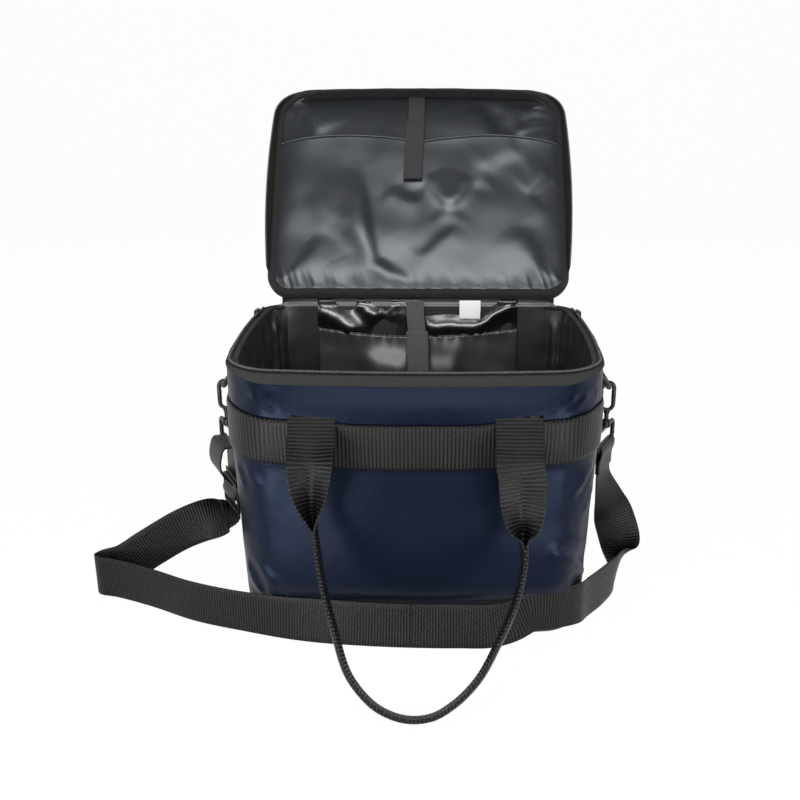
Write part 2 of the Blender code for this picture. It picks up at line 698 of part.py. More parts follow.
def make_handle(name, facing):
    """Carrying loop hung from its fold above the belt, and its two sewn ends under the belt."""
    fold_z = BELT_TOP + ANCHOR_RISE

    def wall_y(x, z):
        return front_y(x, z) if facing < 0 else back_y(z)

    for word, sign in (("left", -1), ("right", 1)):
        columns = []
        middle = sign * HANDLE_SPREAD
        for x in steps(middle - WEB_WIDTH / 2, middle + WEB_WIDTH / 2, ANCHOR_STEPS):
            heights = steps(BELT_FOOT + ANCHOR_THICK, fold_z, ANCHOR_STEPS)
            near = [(x, wall_y(x, z) + facing * FIT, z) for z in heights]
            far = [(x, wall_y(x, z) + facing * (FIT + ANCHOR_THICK), z) for z in reversed(heights)]
            columns.append(near + far)
        make_object(name + "_" + word + "_handle_anchor", *loft(columns), BLACK_WEBBING)

    inner_edge = HANDLE_SPREAD - WEB_WIDTH / 2
    fold_y = wall_y(inner_edge, fold_z) + facing * (BELT_STANDOFF + FIT + WEB_THICK / 2)
    pivot = make_pivot(name + "_handle_pivot", (0, fold_y, fold_z))
    along = Vector((0, facing * math.cos(HANDLE_SLOPE), -math.sin(HANDLE_SLOPE)))
    upright = Vector((0, facing * math.sin(HANDLE_SLOPE), math.cos(HANDLE_SLOPE)))
    sideways = Vector((-facing, 0, 0))
    stations = []
    for spread, reach, twist in HANDLE_CURVE:
        point = pivot["place"] + sideways * spread * HANDLE_SPREAD + along * reach * HANDLE_REACH
        across = sideways * (1 - twist) + upright * twist
        width = blend_between(WEB_WIDTH, HANDLE_FOLDED_WIDTH, twist)
        thick = blend_between(WEB_THICK, HANDLE_FOLDED_THICK, twist)
        stations.append((point, across, width, thick))
    make_object(name + "_handle", *ribbon(stations, HANDLE_STEPS), BLACK_WEBBING, pivot)


def make_ring(side, name):
    """D-ring, the webbing tab that holds its bar, and the pivot at the ring's bow."""
    bar_z = BELT_TOP + TAB_RISE
    bend = RING_WIRE + FIT + TAB_THICK / 2
    bar_x = side_x(bar_z) + FIT + TAB_THICK / 2 + bend
    profile = [(-bend - TAB_THICK / 2, BELT_TOP + FIT - bar_z)]
    turns = steps(math.pi, TAB_WRAP_END, WRAP_STEPS)
    for radius, order in ((bend + TAB_THICK / 2, turns), (bend - TAB_THICK / 2, turns[::-1])):
        profile += [(radius * math.cos(t), radius * math.sin(t)) for t in order]
    profile.append((-bend + TAB_THICK / 2, BELT_TOP + FIT - bar_z))
    ends = []
    for y in (-TAB_WIDTH / 2, TAB_WIDTH / 2):
        ends.append([(side * (bar_x + u), y, bar_z + w) for u, w in profile])
    make_object(name + "_ring_tab", *loft(ends), BLACK_WEBBING)

    bar = Vector((side * bar_x, 0, bar_z))
    down = Vector((side * math.sin(RING_TILT), 0, -math.cos(RING_TILT)))
    inner = RING_HALF_WIDTH - RING_CORNER
    shape = [(-inner, 0.0), (inner, 0.0)]
    shape += arc((inner, RING_CORNER), RING_CORNER, -math.pi / 2, 0, 3)
    for t in steps(0, math.pi, BOW_STEPS):
        shape.append((RING_HALF_WIDTH * math.cos(t), RING_CORNER + (RING_DROP - RING_CORNER) * math.sin(t)))
    shape += arc((-inner, RING_CORNER), RING_CORNER, math.pi, 1.5 * math.pi, 3)
    sideways = Vector((0, 1, 0))
    path = [bar + sideways * a + down * b for a, b in shape]
    pivot = make_pivot(name + "_ring_pivot", bar)
    make_object(name + "_d_ring", *tube(path, sideways.cross(down), RING_WIRE, True), BLACK_NYLON, pivot)
    return pivot, bar + down * RING_DROP


def make_clip(side, name):
    """Snap hook on the ring's bow, its sprung gate, and the swivel eye below it."""
    ring_pivot, bow = make_ring(side, name)
    sideways = Vector((0, 1, 0))
    crown = RING_WIRE + FIT + HOOK_WIRE - HOOK_ARC
    heel = crown - HOOK_BACK
    path = [(-HOOK_ARC, crown - NOSE_DROP), (-HOOK_ARC, crown)]
    path += arc((0, crown), HOOK_ARC, math.pi, 0, WRAP_STEPS)
    path += [(HOOK_ARC, crown), (HOOK_ARC, heel)]
    path += arc((0, heel), HOOK_ARC, 0, -math.pi, WRAP_STEPS)
    path.append((-HOOK_ARC, heel))
    path = [bow + Vector((side * u, 0, w)) for u, w in path]
    swing = make_pivot(name + "_clip_pivot", bow, ring_pivot)
    swivel = make_pivot(name + "_swivel_pivot", bow, swing)
    hook = make_object(name + "_snap_hook", *tube(path, sideways, HOOK_WIRE, False), BLACK_METAL, swivel)
    shank_top = bow + Vector((0, 0, heel - HOOK_ARC))
    shank_end = shank_top - Vector((0, 0, SHANK_LENGTH))
    combine(hook, swivel, *cylinder(shank_end, shank_top, SHANK_RADIUS), "UNION")

    gate_foot = bow + Vector((-side * HOOK_ARC, 0, heel + GATE_GAP))
    gate_tip = bow + Vector((-side * HOOK_ARC, 0, crown - NOSE_DROP - FIT))
    gate_pivot = make_pivot(name + "_gate_pivot", gate_foot + Vector((0, 0, GATE_WIRE)), swivel)
    gate = cylinder(gate_foot, gate_tip, GATE_WIRE, TUBE_SIDES)
    make_object(name + "_hook_gate", *gate, BLACK_METAL, gate_pivot)

    across = Vector((side * math.cos(EYE_YAW), math.sin(EYE_YAW), 0))
    out = Vector((side * math.sin(EYE_YAW), -math.cos(EYE_YAW), 0))
    rise = Vector((0, 0, 1))
    bridge = shank_end.z - FIT - EYE_WIRE / 2
    foot = Vector((bow.x, 0, bridge - EYE_HEIGHT))
    half = EYE_WIDTH / 2 - EYE_CORNER
    low = EYE_CORNER
    high = EYE_HEIGHT - EYE_CORNER
    corners = ((half, low, -0.5), (half, high, 0.0), (-half, high, 0.5), (-half, low, 1.0))
    path = []
    for a, b, turn in corners:
        for t in steps(turn * math.pi, (turn + 0.5) * math.pi, EYE_CORNER_STEPS):
            sideways = across * (a + EYE_CORNER * math.cos(t))
            path.append(foot + sideways + rise * (b + EYE_CORNER * math.sin(t)))
    eye = make_object(name + "_swivel_eye", *tube(path, out, EYE_WIRE, True), BLACK_METAL, swing)
    boss_foot = Vector((bow.x, 0, bridge))
    boss_top = boss_foot + rise * (EYE_WIRE + BOSS_HEIGHT)
    combine(eye, swing, *cylinder(boss_foot, boss_top, BOSS_RADIUS), "UNION")
    hole_foot = shank_end - rise * FIT
    combine(eye, swing, *cylinder(hole_foot, boss_top + rise * FIT, SHANK_RADIUS + FIT), "DIFFERENCE")
    return {"ring": ring_pivot, "swing": swing, "foot": foot, "across": across, "out": out}


def make_strap_loop(clip, name, outer_side, inner_side):
    """Webbing doubled over the eye's lower bar; each side lists (outward, upward) points."""
    turns = steps(math.radians(30), math.radians(180), LOOP_STEPS)
    over = [(LOOP_BEND * math.cos(t), LOOP_BEND * math.sin(t)) for t in turns]
    stations = []
    for a, b in outer_side + over + inner_side:
        point = clip["foot"] + clip["out"] * a + Vector((0, 0, b))
        stations.append((point, clip["across"], WEB_WIDTH, WEB_THICK))
    make_object(name, *ribbon(stations, ROUTE_STEPS), BLACK_WEBBING, clip["swing"])


def make_adjuster(clip):
    """Three-bar slide below the left loop: a plate with two slots."""
    across = [-SLIDE_WIDTH / 2, -SLIDE_WIDTH / 2 + SLIDE_BAR, SLIDE_WIDTH / 2 - SLIDE_BAR, SLIDE_WIDTH / 2]
    tall = SLIDE_HEIGHT / 2
    bar = SLIDE_BAR
    up = [-tall, bar - tall, -bar / 2, bar / 2, tall - bar, tall]
    centre = clip["foot"] - Vector((0, 0, LEFT_LOOP_LENGTH + FIT + tall))
    points = []
    for depth in (-SLIDE_THICK / 2, SLIDE_THICK / 2):
        for b in up:
            for a in across:
                points.append(centre + clip["across"] * a + Vector((0, 0, b)) + clip["out"] * depth)
    wide = len(across)
    layer = wide * len(up)
    slots = {(1, 1), (1, 3)}
    cells = {(i, j) for i in range(wide - 1) for j in range(len(up) - 1)} - slots
    faces = []
    for i, j in cells:
        base = j * wide + i
        square = (base, base + 1, base + wide + 1, base + wide)
        faces.append(square)
        faces.append(tuple(k + layer for k in square))
        neighbours = ((i, j - 1), (i + 1, j), (i, j + 1), (i - 1, j))
        for edge, other in enumerate(neighbours):
            if other not in cells:
                a, b = square[edge], square[(edge + 1) % 4]
                faces.append((a, b, b + layer, a + layer))
    make_object("strap_adjuster", points, faces, BLACK_NYLON, clip["ring"])


def make_strap(left, right):
    """Shoulder strap from the right clip, on edge round the front, to the adjuster on the left."""
    drop = Vector((0, 0, 1))
    start = right["foot"] - drop * (RIGHT_LOOP_LENGTH + FIT)
    end = left["foot"] - drop * (LEFT_LOOP_LENGTH + 2 * FIT + SLIDE_HEIGHT)
    lead = drop * STRAP_LEAD
    route = [(start, right["across"]), (start - lead, right["across"])]
    route += [(Vector(point), Vector(across)) for point, across in STRAP_ROUTE]
    route += [(end - lead, left["across"]), (end, left["across"])]
    stations = [(point, across, WEB_WIDTH, WEB_THICK) for point, across in route]
    make_object("shoulder_strap", *ribbon(stations, ROUTE_STEPS), BLACK_WEBBING)


def make_shoulder_strap():
    clips = {}
    for side, name in ((-1, "left"), (1, "right")):
        clips[name] = make_clip(side, name)
    bend = LOOP_BEND
    sewn = WEB_THICK / 2 + FIT
    length = RIGHT_LOOP_LENGTH
    outer = [(sewn, -length), (sewn + FIT, -length / 2), (bend, -EYE_WIRE)]
    inner = [(-bend, -EYE_WIRE), (-sewn - FIT, -length / 2), (-sewn, -length)]
    make_strap_loop(clips["right"], "right_strap_loop", outer, inner)
    length = LEFT_LOOP_LENGTH
    bulge = LEFT_LOOP_BULGE
    outer = [(bend, -length), (bulge, -length * 0.6), (bulge, -length * 0.25), (bulge * 0.6, EYE_WIRE)]
    inner = [(-bend, -EYE_WIRE), (-bend, -length / 2), (-bend, LEFT_LOOP_SLACK - length)]
    make_strap_loop(clips["left"], "left_strap_loop", outer, inner)
    make_adjuster(clips["left"])
    make_strap(clips["left"], clips["right"])


clear_scene()
make_body()
make_lid()
make_rear_pocket()
for side_sign, side_name in ((-1, "left"), (1, "right")):
    make_slider(side_sign, side_name)
make_handle("front", -1)
make_handle("rear", 1)
make_shoulder_strap()
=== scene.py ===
"""Looks of the soft insulated cooler bag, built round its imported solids.

Metres, +Z up, the front towards -Y. Each piece stands where the solid that it replaces stands.
"""

import math

import bpy
import numpy as np
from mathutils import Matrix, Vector


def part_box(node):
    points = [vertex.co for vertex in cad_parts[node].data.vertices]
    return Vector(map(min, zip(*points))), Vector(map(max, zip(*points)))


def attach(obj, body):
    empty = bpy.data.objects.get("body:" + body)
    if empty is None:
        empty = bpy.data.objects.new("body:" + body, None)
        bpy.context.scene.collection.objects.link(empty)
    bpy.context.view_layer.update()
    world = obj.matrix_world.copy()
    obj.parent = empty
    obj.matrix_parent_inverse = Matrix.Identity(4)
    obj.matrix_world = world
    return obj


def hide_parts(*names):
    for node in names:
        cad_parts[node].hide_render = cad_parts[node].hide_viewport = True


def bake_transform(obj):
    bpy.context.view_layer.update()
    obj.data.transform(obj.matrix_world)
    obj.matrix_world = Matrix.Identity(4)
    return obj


# Body and lid, as in the solids
BODY_WIDTH = 0.292
BODY_DEPTH = 0.225
BODY_HEIGHT = 0.232
SIDE_BOW = 0.0068
FRONT_BOW = 0.009
FRONT_CORNER = 0.034
BACK_CORNER = 0.022
BASE_TAPER = 0.007
BELLY = 0.002
BASE_EDGE = 0.009
WALL = 0.0076
RIM_BASE = 0.2235
RIM_TOP = 0.230
HINGE_Y = 0.1128
HINGE_Z = 0.2455
HINGE_WIDTH = 0.262
HINGE_FOOT = 0.2312
HINGE_TOP = 0.2400
LID_OPEN = math.radians(127.5)
LID_FACE = 0.2458
LID_THICK = 0.008
LID_FRONT_BOW = 0.0035
LID_TAIL = 0.0060
COIL_INSET = 0.0021
REAR_LINING_TOP = 0.2390
COIL_RADIUS = 0.0011
BODY_COIL_Z = 0.2334
LID_COIL_Z = 0.239
COIL_PITCH = 0.0020
COIL_SPACING = 0.00042

# Webbing
WEB_WIDTH = 0.038
WEB_THICK = 0.0015
BELT_FOOT = 0.153
BELT_TOP = 0.191
HANDLE_SPREAD = 0.080
HANDLE_SLOPE = math.radians(60.0)
HANDLE_REACH = 0.2215
HANDLE_FOLD_Z = 0.198

# Spacing of the webbing's yarns
YARN_PITCH = 0.0019

# Thickness of the cloths
SHELL_THICK = 0.0010
BASE_THICK = 0.0008
LINING_THICK = 0.0006
TAPE_THICK = 0.0007
BELT_THICK = 0.0014
LABEL_THICK = 0.0004
HOOK_PATCH_THICK = 0.0007
CLOSING_TAPE_THICK = 0.0010
CLOSING_LOOP_THICK = 0.0012

# Facets: columns of the wall on each stretch of its outline, and the spacing of rings along straps
SIDE_COLUMNS = 48
CORNER_COLUMNS = 22
FRONT_COLUMNS = 90
BACK_COLUMNS = 40
RING_SPACING = 0.002

# Camera, and the place that it and the lamps look at
AIM = Vector((0.0, 0.0, 0.150))
CAMERA_AZIMUTH = 0.9
CAMERA_ELEVATION = 19.8
CAMERA_DISTANCE = 0.923
CAMERA_LENS = 46.53
CAMERA_SHIFT = (-0.020, 0.02875)

# Lamps: name, azimuth, elevation, distance, width, height, brightness
LAMPS = (
    ("key", 0.0, 58.5, 1.7, 1.0, 0.50, 8.5),
    ("front_strip", 0.0, 21.5, 1.8, 1.8, 0.36, 11.0),
    ("left_low", -32.7, -7.4, 0.504, 0.20, 0.11, 22.0),
    ("right_low", 34.0, -7.4, 0.504, 0.18, 0.11, 16.0),
    ("left", -84.0, 13.0, 1.5, 0.8, 0.8, 4.0),
    ("right", 85.0, 13.0, 1.5, 0.8, 0.8, 3.5),
    ("back_top", 180.0, 58.0, 1.6, 1.3, 0.6, 4.0),
)

# Floor: half its width, where it starts to rise behind the bag, the radius of that curve, and its top
FLOOR_HALF = 6.0
FLOOR_BACK = 2.2
FLOOR_CURVE = 0.8
FLOOR_TOP = 5.0

WHITE = (1.0, 1.0, 1.0, 1.0)

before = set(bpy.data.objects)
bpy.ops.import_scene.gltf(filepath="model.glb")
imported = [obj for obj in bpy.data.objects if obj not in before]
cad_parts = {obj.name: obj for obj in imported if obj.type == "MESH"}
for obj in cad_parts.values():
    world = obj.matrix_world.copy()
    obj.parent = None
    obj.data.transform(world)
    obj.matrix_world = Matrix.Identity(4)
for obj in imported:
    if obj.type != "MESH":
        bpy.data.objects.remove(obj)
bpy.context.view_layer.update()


def blend_between(a, b, share):
    return a + (b - a) * share


def smooth(share):
    """Soft step from 0 to 1."""
    share = np.clip(share, 0.0, 1.0)
    return share * share * (3 - 2 * share)


# Materials


class Nodes:
    """Short ways to add nodes to a tree."""

    def __init__(self, tree):
        self.tree = tree

    def feed(self, socket, value):
        """Give a socket a number, a colour or the output of another node."""
        if isinstance(value, bpy.types.NodeSocket):
            self.tree.links.new(value, socket)
        else:
            socket.default_value = value

    def node(self, kind, inputs=None, **settings):
        made = self.tree.nodes.new("ShaderNode" + kind)
        for key, value in settings.items():
            setattr(made, key, value)
        for key, value in (inputs or {}).items():
            self.feed(made.inputs[key], value)
        return made

    def math(self, operation, a, b=0.0, c=0.0):
        return self.node("Math", {0: a, 1: b, 2: c}, operation=operation).outputs[0]

    def seen_rays(self):
        """1 for rays from the camera, off a gloss or through glass, which see the background white."""
        rays = self.node("LightPath").outputs
        seen = self.math("MAXIMUM", rays["Is Camera Ray"], rays["Is Glossy Ray"])
        return self.math("MAXIMUM", seen, rays["Is Transmission Ray"])


class Shader(Nodes):
    """A Principled material."""

    def __init__(self, name, roughness, specular=0.5):
        self.material = bpy.data.materials.new(name)
        self.material.use_nodes = True
        super().__init__(self.material.node_tree)
        self.out = self.tree.nodes["Principled BSDF"]
        self.set("Roughness", roughness)
        self.set("Specular IOR Level", specular)

    def set(self, socket, value):
        self.feed(self.out.inputs[socket], value)

    def mix(self, share, dark, light):
        inputs = {0: share, 6: (*dark, 1.0), 7: (*light, 1.0)}
        return self.node("Mix", inputs, data_type="RGBA").outputs[2]

    def noise(self, scale, detail=3.0, rough=0.5, distortion=0.0):
        place = self.node("TexCoord").outputs["Object"]
        values = {"Vector": place, "Scale": scale, "Detail": detail, "Roughness": rough}
        values["Distortion"] = distortion
        return self.node("TexNoise", values).outputs[0]

    def wave(self, source, pitch, phase=0.5):
        """Sine from 0 to 1 over a length in metres; the phase is a socket or a number."""
        turn = self.math("MULTIPLY_ADD", source, 2 * math.pi / pitch, phase)
        return self.math("MULTIPLY_ADD", self.math("SINE", turn), 0.5, 0.5)

    def bump(self, height, depth, strength=1.0):
        made = self.node("Bump", {"Height": height, "Distance": depth, "Strength": strength})
        self.set("Normal", made.outputs[0])

    def uv(self):
        place = self.node("TexCoord").outputs["UV"]
        parts = self.node("SeparateXYZ", {0: place})
        return parts.outputs[0], parts.outputs[1]


def webbing(name, dark, light, pitch=0.0030):
    """Ribbed polypropylene webbing: dark ribs across the strap, each with a row of light yarn floats."""
    shader = Shader(name, 0.40, specular=0.15)
    along, across = shader.uv()
    rib = shader.math("POWER", shader.wave(along, pitch), 1.6)
    row = shader.math("FLOOR", shader.math("ADD", shader.math("MULTIPLY", along, 1 / pitch), 0.25))
    yarn = shader.wave(across, YARN_PITCH, shader.math("MULTIPLY", row, math.pi))
    floats = shader.math("MULTIPLY_ADD", yarn, 0.75, 0.25)
    weave = shader.math("MULTIPLY", rib, floats)
    worn = shader.math("ADD", shader.noise(28.0, 3.0), 0.5)
    shader.set("Base Color", shader.mix(shader.math("MULTIPLY", weave, worn), dark, light))
    fuzz = shader.math("MULTIPLY", shader.noise(900.0, 2.0), 0.2)
    shader.bump(shader.math("ADD", weave, fuzz), 0.0009, 0.50)
    return shader.material


def coated_fabric(name, dark, light, roughness, specular, grain):
    """Coated cloth with a faint grain, cloudy tone and small creases."""
    shader = Shader(name, roughness, specular=specular)
    cloud = shader.noise(14.0, 3.0)
    shader.set("Base Color", shader.mix(cloud, dark, light))
    fine = shader.noise(2200.0, 2.0)
    creases = shader.noise(38.0, 4.0, 0.55, distortion=0.6)
    height = shader.math("ADD", shader.math("MULTIPLY", fine, grain), creases)
    shader.bump(height, 0.0016, 0.35)
    shader.set("Roughness", shader.math("MULTIPLY_ADD", cloud, 0.16, roughness - 0.08))
    return shader.material


def satin_lining(name, dark, light, roughness, specular):
    """Thin coated nylon lining: a fine twill with a satin sheen."""
    shader = Shader(name, roughness, specular=specular)
    place = shader.node("TexCoord").outputs["Object"]
    parts = shader.node("SeparateXYZ", {0: place})
    warp = shader.wave(parts.outputs[0], 0.0007)
    weft = shader.wave(parts.outputs[2], 0.0009)
    weave = shader.math("MULTIPLY", warp, weft)
    cloud = shader.noise(20.0, 3.0)
    tone = shader.math("ADD", shader.math("MULTIPLY", weave, 0.35), shader.math("MULTIPLY", cloud, 0.65))
    shader.set("Base Color", shader.mix(tone, dark, light))
    creases = shader.noise(24.0, 3.0, 0.5, distortion=0.5)
    height = shader.math("ADD", shader.math("MULTIPLY", weave, 0.08), creases)
    shader.bump(height, 0.0010, 0.25)
    return shader.material


def matte_tape(name, dark, light, pitch=0.0011):
    """Woven binding tape with a fine cross rib and a fuzzy surface."""
    shader = Shader(name, 0.82, specular=0.25)
    along, across = shader.uv()
    rib = shader.math("MULTIPLY", shader.wave(along, pitch), shader.wave(across, pitch))
    fuzz = shader.noise(700.0, 4.0, 0.7)
    tone = shader.math("ADD", shader.math("MULTIPLY", rib, 0.4), shader.math("MULTIPLY", fuzz, 0.6))
    shader.set("Base Color", shader.mix(tone, dark, light))
    shader.bump(tone, 0.0006, 0.8)
    return shader.material


def moulded(name, colour, roughness, specular=0.5):
    """Moulded or painted hardware with a slight orange peel and rubbed tone."""
    shader = Shader(name, roughness, specular)
    rubbed = shader.noise(160.0, 3.0)
    dark, light = (tuple(share * c for c in colour) for share in (0.7, 1.5))
    shader.set("Base Color", shader.mix(rubbed, dark, light))
    shader.bump(shader.noise(600.0, 2.0), 0.0003, 0.25)
    return shader.material


def tint_gloss(material, colour):
    material.node_tree.nodes["Principled BSDF"].inputs["Specular Tint"].default_value = (*colour, 1.0)


NAVY_TONES = ((0.0006, 0.0013, 0.0040), (0.0014, 0.0028, 0.0090))
NAVY = coated_fabric("navy_coated_fabric", *NAVY_TONES, 0.38, 0.15, 0.10)
tint_gloss(NAVY, (0.50, 0.64, 1.0))
LINING = satin_lining("grey_satin_lining", (0.007, 0.008, 0.010), (0.020, 0.022, 0.027), 0.31, 0.78)
tint_gloss(LINING, (0.91, 0.95, 1.0))
# Rear pocket's lining: a lighter copy of the lining, whose extra lightness is painted light that brightens
# the pocket in the shade inside the bag
POCKET_LINING_PAINTED_LIGHT = satin_lining("pocket_lining_painted_light", (0.016, 0.016, 0.018), (0.036, 0.037, 0.040), 0.32, 0.60)
DARK_LINING = satin_lining("dark_satin_lining", (0.009, 0.009, 0.010), (0.022, 0.022, 0.024), 0.33, 0.65)
FILM = coated_fabric("black_film", (0.003, 0.003, 0.004), (0.006, 0.006, 0.007), 0.25, 1.0, 0.02)
WEBBING = webbing("black_webbing", (0.0004, 0.0004, 0.0004), (0.017, 0.017, 0.0165))
STRAP_WEBBING = webbing("strap_webbing", (0.0004, 0.0004, 0.0004), (0.015, 0.015, 0.0145), 0.0024)
TAPE = matte_tape("black_tape", (0.001, 0.001, 0.001), (0.034, 0.034, 0.032))
DARK_TAPE = matte_tape("zip_tape", (0.003, 0.003, 0.003), (0.014, 0.014, 0.013))
LOOP_TAPE = matte_tape("hook_and_loop", (0.012, 0.012, 0.012), (0.060, 0.061, 0.062), 0.0016)
# Rear closing strap's hook-and-loop: a lighter copy of the tape above, whose extra lightness is painted
# light for the shaded back wall inside the bag
LOOP_TAPE_PAINTED_LIGHT = matte_tape("rear_hook_and_loop_painted_light", (0.030, 0.030, 0.030), (0.150, 0.151, 0.153), 0.0016)
COIL = moulded("zip_coil", (0.032, 0.032, 0.032), 0.40)
NYLON = moulded("black_nylon", (0.003, 0.003, 0.0035), 0.34, 0.18)
METAL = moulded("black_metal", (0.005, 0.005, 0.0055), 0.32, 0.22)
LABEL = matte_tape("white_label", (0.86, 0.86, 0.85), (0.92, 0.92, 0.91))

# Slots of the part that the materials fill
SLOTS = {
    NAVY: "navy_fabric", LINING: "lining", POCKET_LINING_PAINTED_LIGHT: "lining", DARK_LINING: "lining",
    FILM: "black_film", WEBBING: "webbing", STRAP_WEBBING: "webbing", TAPE: "black_tape",
    DARK_TAPE: "black_tape", LOOP_TAPE: "hook_and_loop", LOOP_TAPE_PAINTED_LIGHT: "hook_and_loop",
    COIL: "zip_coil", NYLON: "black_nylon", METAL: "black_metal", LABEL: "label",
}


# Meshes


def add_mesh(name, points, faces, material, body=None, stands_for=(), slot=None, uv=None):
    mesh = bpy.data.meshes.new(name)
    mesh.from_pydata(np.asarray(points, float).reshape(-1, 3).tolist(), [], faces)
    if uv is not None:
        corner = np.zeros(len(mesh.loops), np.int32)
        mesh.loops.foreach_get("vertex_index", corner)
        layer = mesh.uv_layers.new(name="UVMap")
        layer.data.foreach_set("uv", np.asarray(uv, np.float32).reshape(-1, 2)[corner].ravel())
    mesh.shade_smooth()
    mesh.materials.append(material)
    item = bpy.data.objects.new(name, mesh)
    bpy.context.scene.collection.objects.link(item)
    if body:
        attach(item, body)
    if stands_for:
        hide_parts(*stands_for)
    slot = slot or SLOTS.get(material)
    return item


def grid_faces(rows, columns, wrap_rows=False, wrap_columns=False):
    faces = []
    for r in range(rows if wrap_rows else rows - 1):
        low = r * columns
        high = (r + 1) % rows * columns
        for c in range(columns if wrap_columns else columns - 1):
            d = (c + 1) % columns
            faces.append((low + c, low + d, high + d, high + c))
    return faces


def unit(vectors):
    return vectors / np.maximum(np.linalg.norm(vectors, axis=-1, keepdims=True), 1e-12)


def add_sheet(name, grid, thick, material, uv=None, **where):
    """Cloth of some thickness: the grid is its face, and its back lies behind the face's normals."""
    rows, columns, _ = grid.shape
    normals = unit(np.cross(np.gradient(grid, axis=1), np.gradient(grid, axis=0)))
    points = np.concatenate([grid.reshape(-1, 3), (grid - normals * thick).reshape(-1, 3)])
    count = rows * columns
    faces = grid_faces(rows, columns)
    faces += [tuple(count + i for i in reversed(face)) for face in faces]
    last = (rows - 1) * columns
    for a in range(columns - 1):
        b = a + 1
        faces.append((b, a, count + a, count + b))
        faces.append((last + a, last + b, count + last + b, count + last + a))
    for a in range(0, last, columns):
        b = a + columns
        c, d = a + columns - 1, b + columns - 1
        faces.append((a, b, count + b, count + a))
        faces.append((d, c, count + c, count + d))
    full_uv = None if uv is None else np.concatenate([uv.reshape(-1, 2)] * 2)
    return add_mesh(name, points, faces, material, uv=full_uv, **where)


def sweep(centres, sides, ups, sections, looped=False):
    """Tube of closed sections along a line; a section is a list of (side, up) points for each ring."""
    sections = np.broadcast_to(sections, (len(centres), *np.shape(sections)[-2:]))
    points = centres[:, None] + sections[..., :1] * sides[:, None] + sections[..., 1:] * ups[:, None]
    rings, count, _ = points.shape
    faces = grid_faces(rings, count, wrap_rows=looped, wrap_columns=True)
    if not looped:
        faces.append(tuple(range(count))[::-1])
        faces.append(tuple(range((rings - 1) * count, rings * count)))
    return points, faces


def lengths(points):
    """Distance along a line at each of its points."""
    gaps = np.linalg.norm(np.diff(points, axis=0), axis=1)
    return np.concatenate([[0.0], np.cumsum(gaps)])


def band_uv(run, across):
    """Texture places of a grid whose columns run along a band and whose rows lie across it."""
    return np.stack(np.meshgrid(run, across), -1)


def strap_uv(run, across):
    """Texture places of a grid whose rows run along a strap and whose columns lie across it."""
    return np.stack(np.meshgrid(run, across, indexing="ij"), -1)


def at_height(outline, z):
    return np.column_stack([outline, np.full(len(outline), z)])


def smooth_line(values, spacing=RING_SPACING):
    """Smooth curve through rows of values, whose first three are a point, at an even spacing."""
    values = np.asarray(values, float)
    gaps = np.maximum(np.linalg.norm(np.diff(values[:, :3], axis=0), axis=1), 1e-9)[:, None]
    rates = np.diff(values, axis=0) / gaps
    inner = (rates[:-1] * gaps[1:] + rates[1:] * gaps[:-1]) / (gaps[:-1] + gaps[1:])
    slopes = np.concatenate([rates[:1], inner, rates[-1:]])
    t = np.linspace(0.0, 1.0, 25)[None, :-1, None]
    a, b = values[:-1, None], values[1:, None]
    curve = a * (1 + 2 * t) * (1 - t) ** 2 + b * t ** 2 * (3 - 2 * t)
    lean = slopes[:-1, None] * t * (1 - t) ** 2 - slopes[1:, None] * t ** 2 * (1 - t)
    fine = (curve + lean * gaps[:, None]).reshape(-1, values.shape[1])
    fine = np.concatenate([fine, values[-1:]])
    run = lengths(fine[:, :3])
    even = np.linspace(0.0, run[-1], max(int(run[-1] / spacing), 4) + 1)
    return np.stack([np.interp(even, run, fine[:, k]) for k in range(values.shape[1])], 1)


def strap_section(width, thick):
    """Closed outline of flat webbing with rounded selvages."""
    half = width / 2
    inner = half - thick * 0.12
    shoulder = thick * 0.32
    across = np.linspace(-half + thick / 2, half - thick / 2, 9)
    outline = [(-half, 0.0), (-inner, shoulder)] + [(a, thick / 2) for a in across]
    outline += [(inner, shoulder), (half, 0.0), (inner, -shoulder)]
    outline += [(a, -thick / 2) for a in across[::-1]] + [(-inner, -shoulder)]
    return np.array(outline)


def add_strap(name, stations, material, width=WEB_WIDTH, thick=WEB_THICK, **where):
    """Webbing along stations of (point, width direction); returns the piece and its middle line."""
    line = smooth_line([[*point, *across] for point, across in stations])
    centres = line[:, :3]
    ahead = unit(np.gradient(centres, axis=0))
    across = line[:, 3:6] - ahead * np.sum(line[:, 3:6] * ahead, axis=1, keepdims=True)
    across = unit(across)
    section = strap_section(width, thick)
    points, faces = sweep(centres, across, np.cross(ahead, across), section)
    uv = strap_uv(lengths(centres), section[:, 0])
    return add_mesh(name, points, faces, material, uv=uv, **where), centres


def add_rod(name, path, radius, material, looped=False, sides=14, **where):
    """Round wire along a path; radius is a number or one for each point."""
    path = np.asarray(path, float)
    ahead = np.roll(path, -1, 0) - np.roll(path, 1, 0) if looped else np.gradient(path, axis=0)
    ahead = unit(ahead)
    side = np.cross(ahead[0], (0.31, 0.57, 0.76))
    rows = []
    for direction in ahead:
        side = side - direction * np.dot(side, direction)
        side = side / np.linalg.norm(side)
        rows.append(side)
    rows = np.array(rows)
    turns = np.linspace(0.0, 2 * math.pi, sides, endpoint=False)
    circle = np.stack([np.cos(turns), np.sin(turns)], 1)
    radius = np.broadcast_to(radius, len(path))
    sections = circle[None] * radius[:, None, None]
    points, faces = sweep(path, rows, np.cross(ahead, rows), sections, looped)
    return add_mesh(name, points, faces, material, **where)


# Camera, floor and light, from the photograph


def seen_from(azimuth, elevation):
    """Direction towards a place given by two angles in degrees, and the turn that looks back from it."""
    a, e = math.radians(azimuth), math.radians(elevation)
    towards = Vector((math.sin(a) * math.cos(e), -math.cos(a) * math.cos(e), math.sin(e)))
    return towards, towards.to_track_quat("Z", "Y").to_euler()


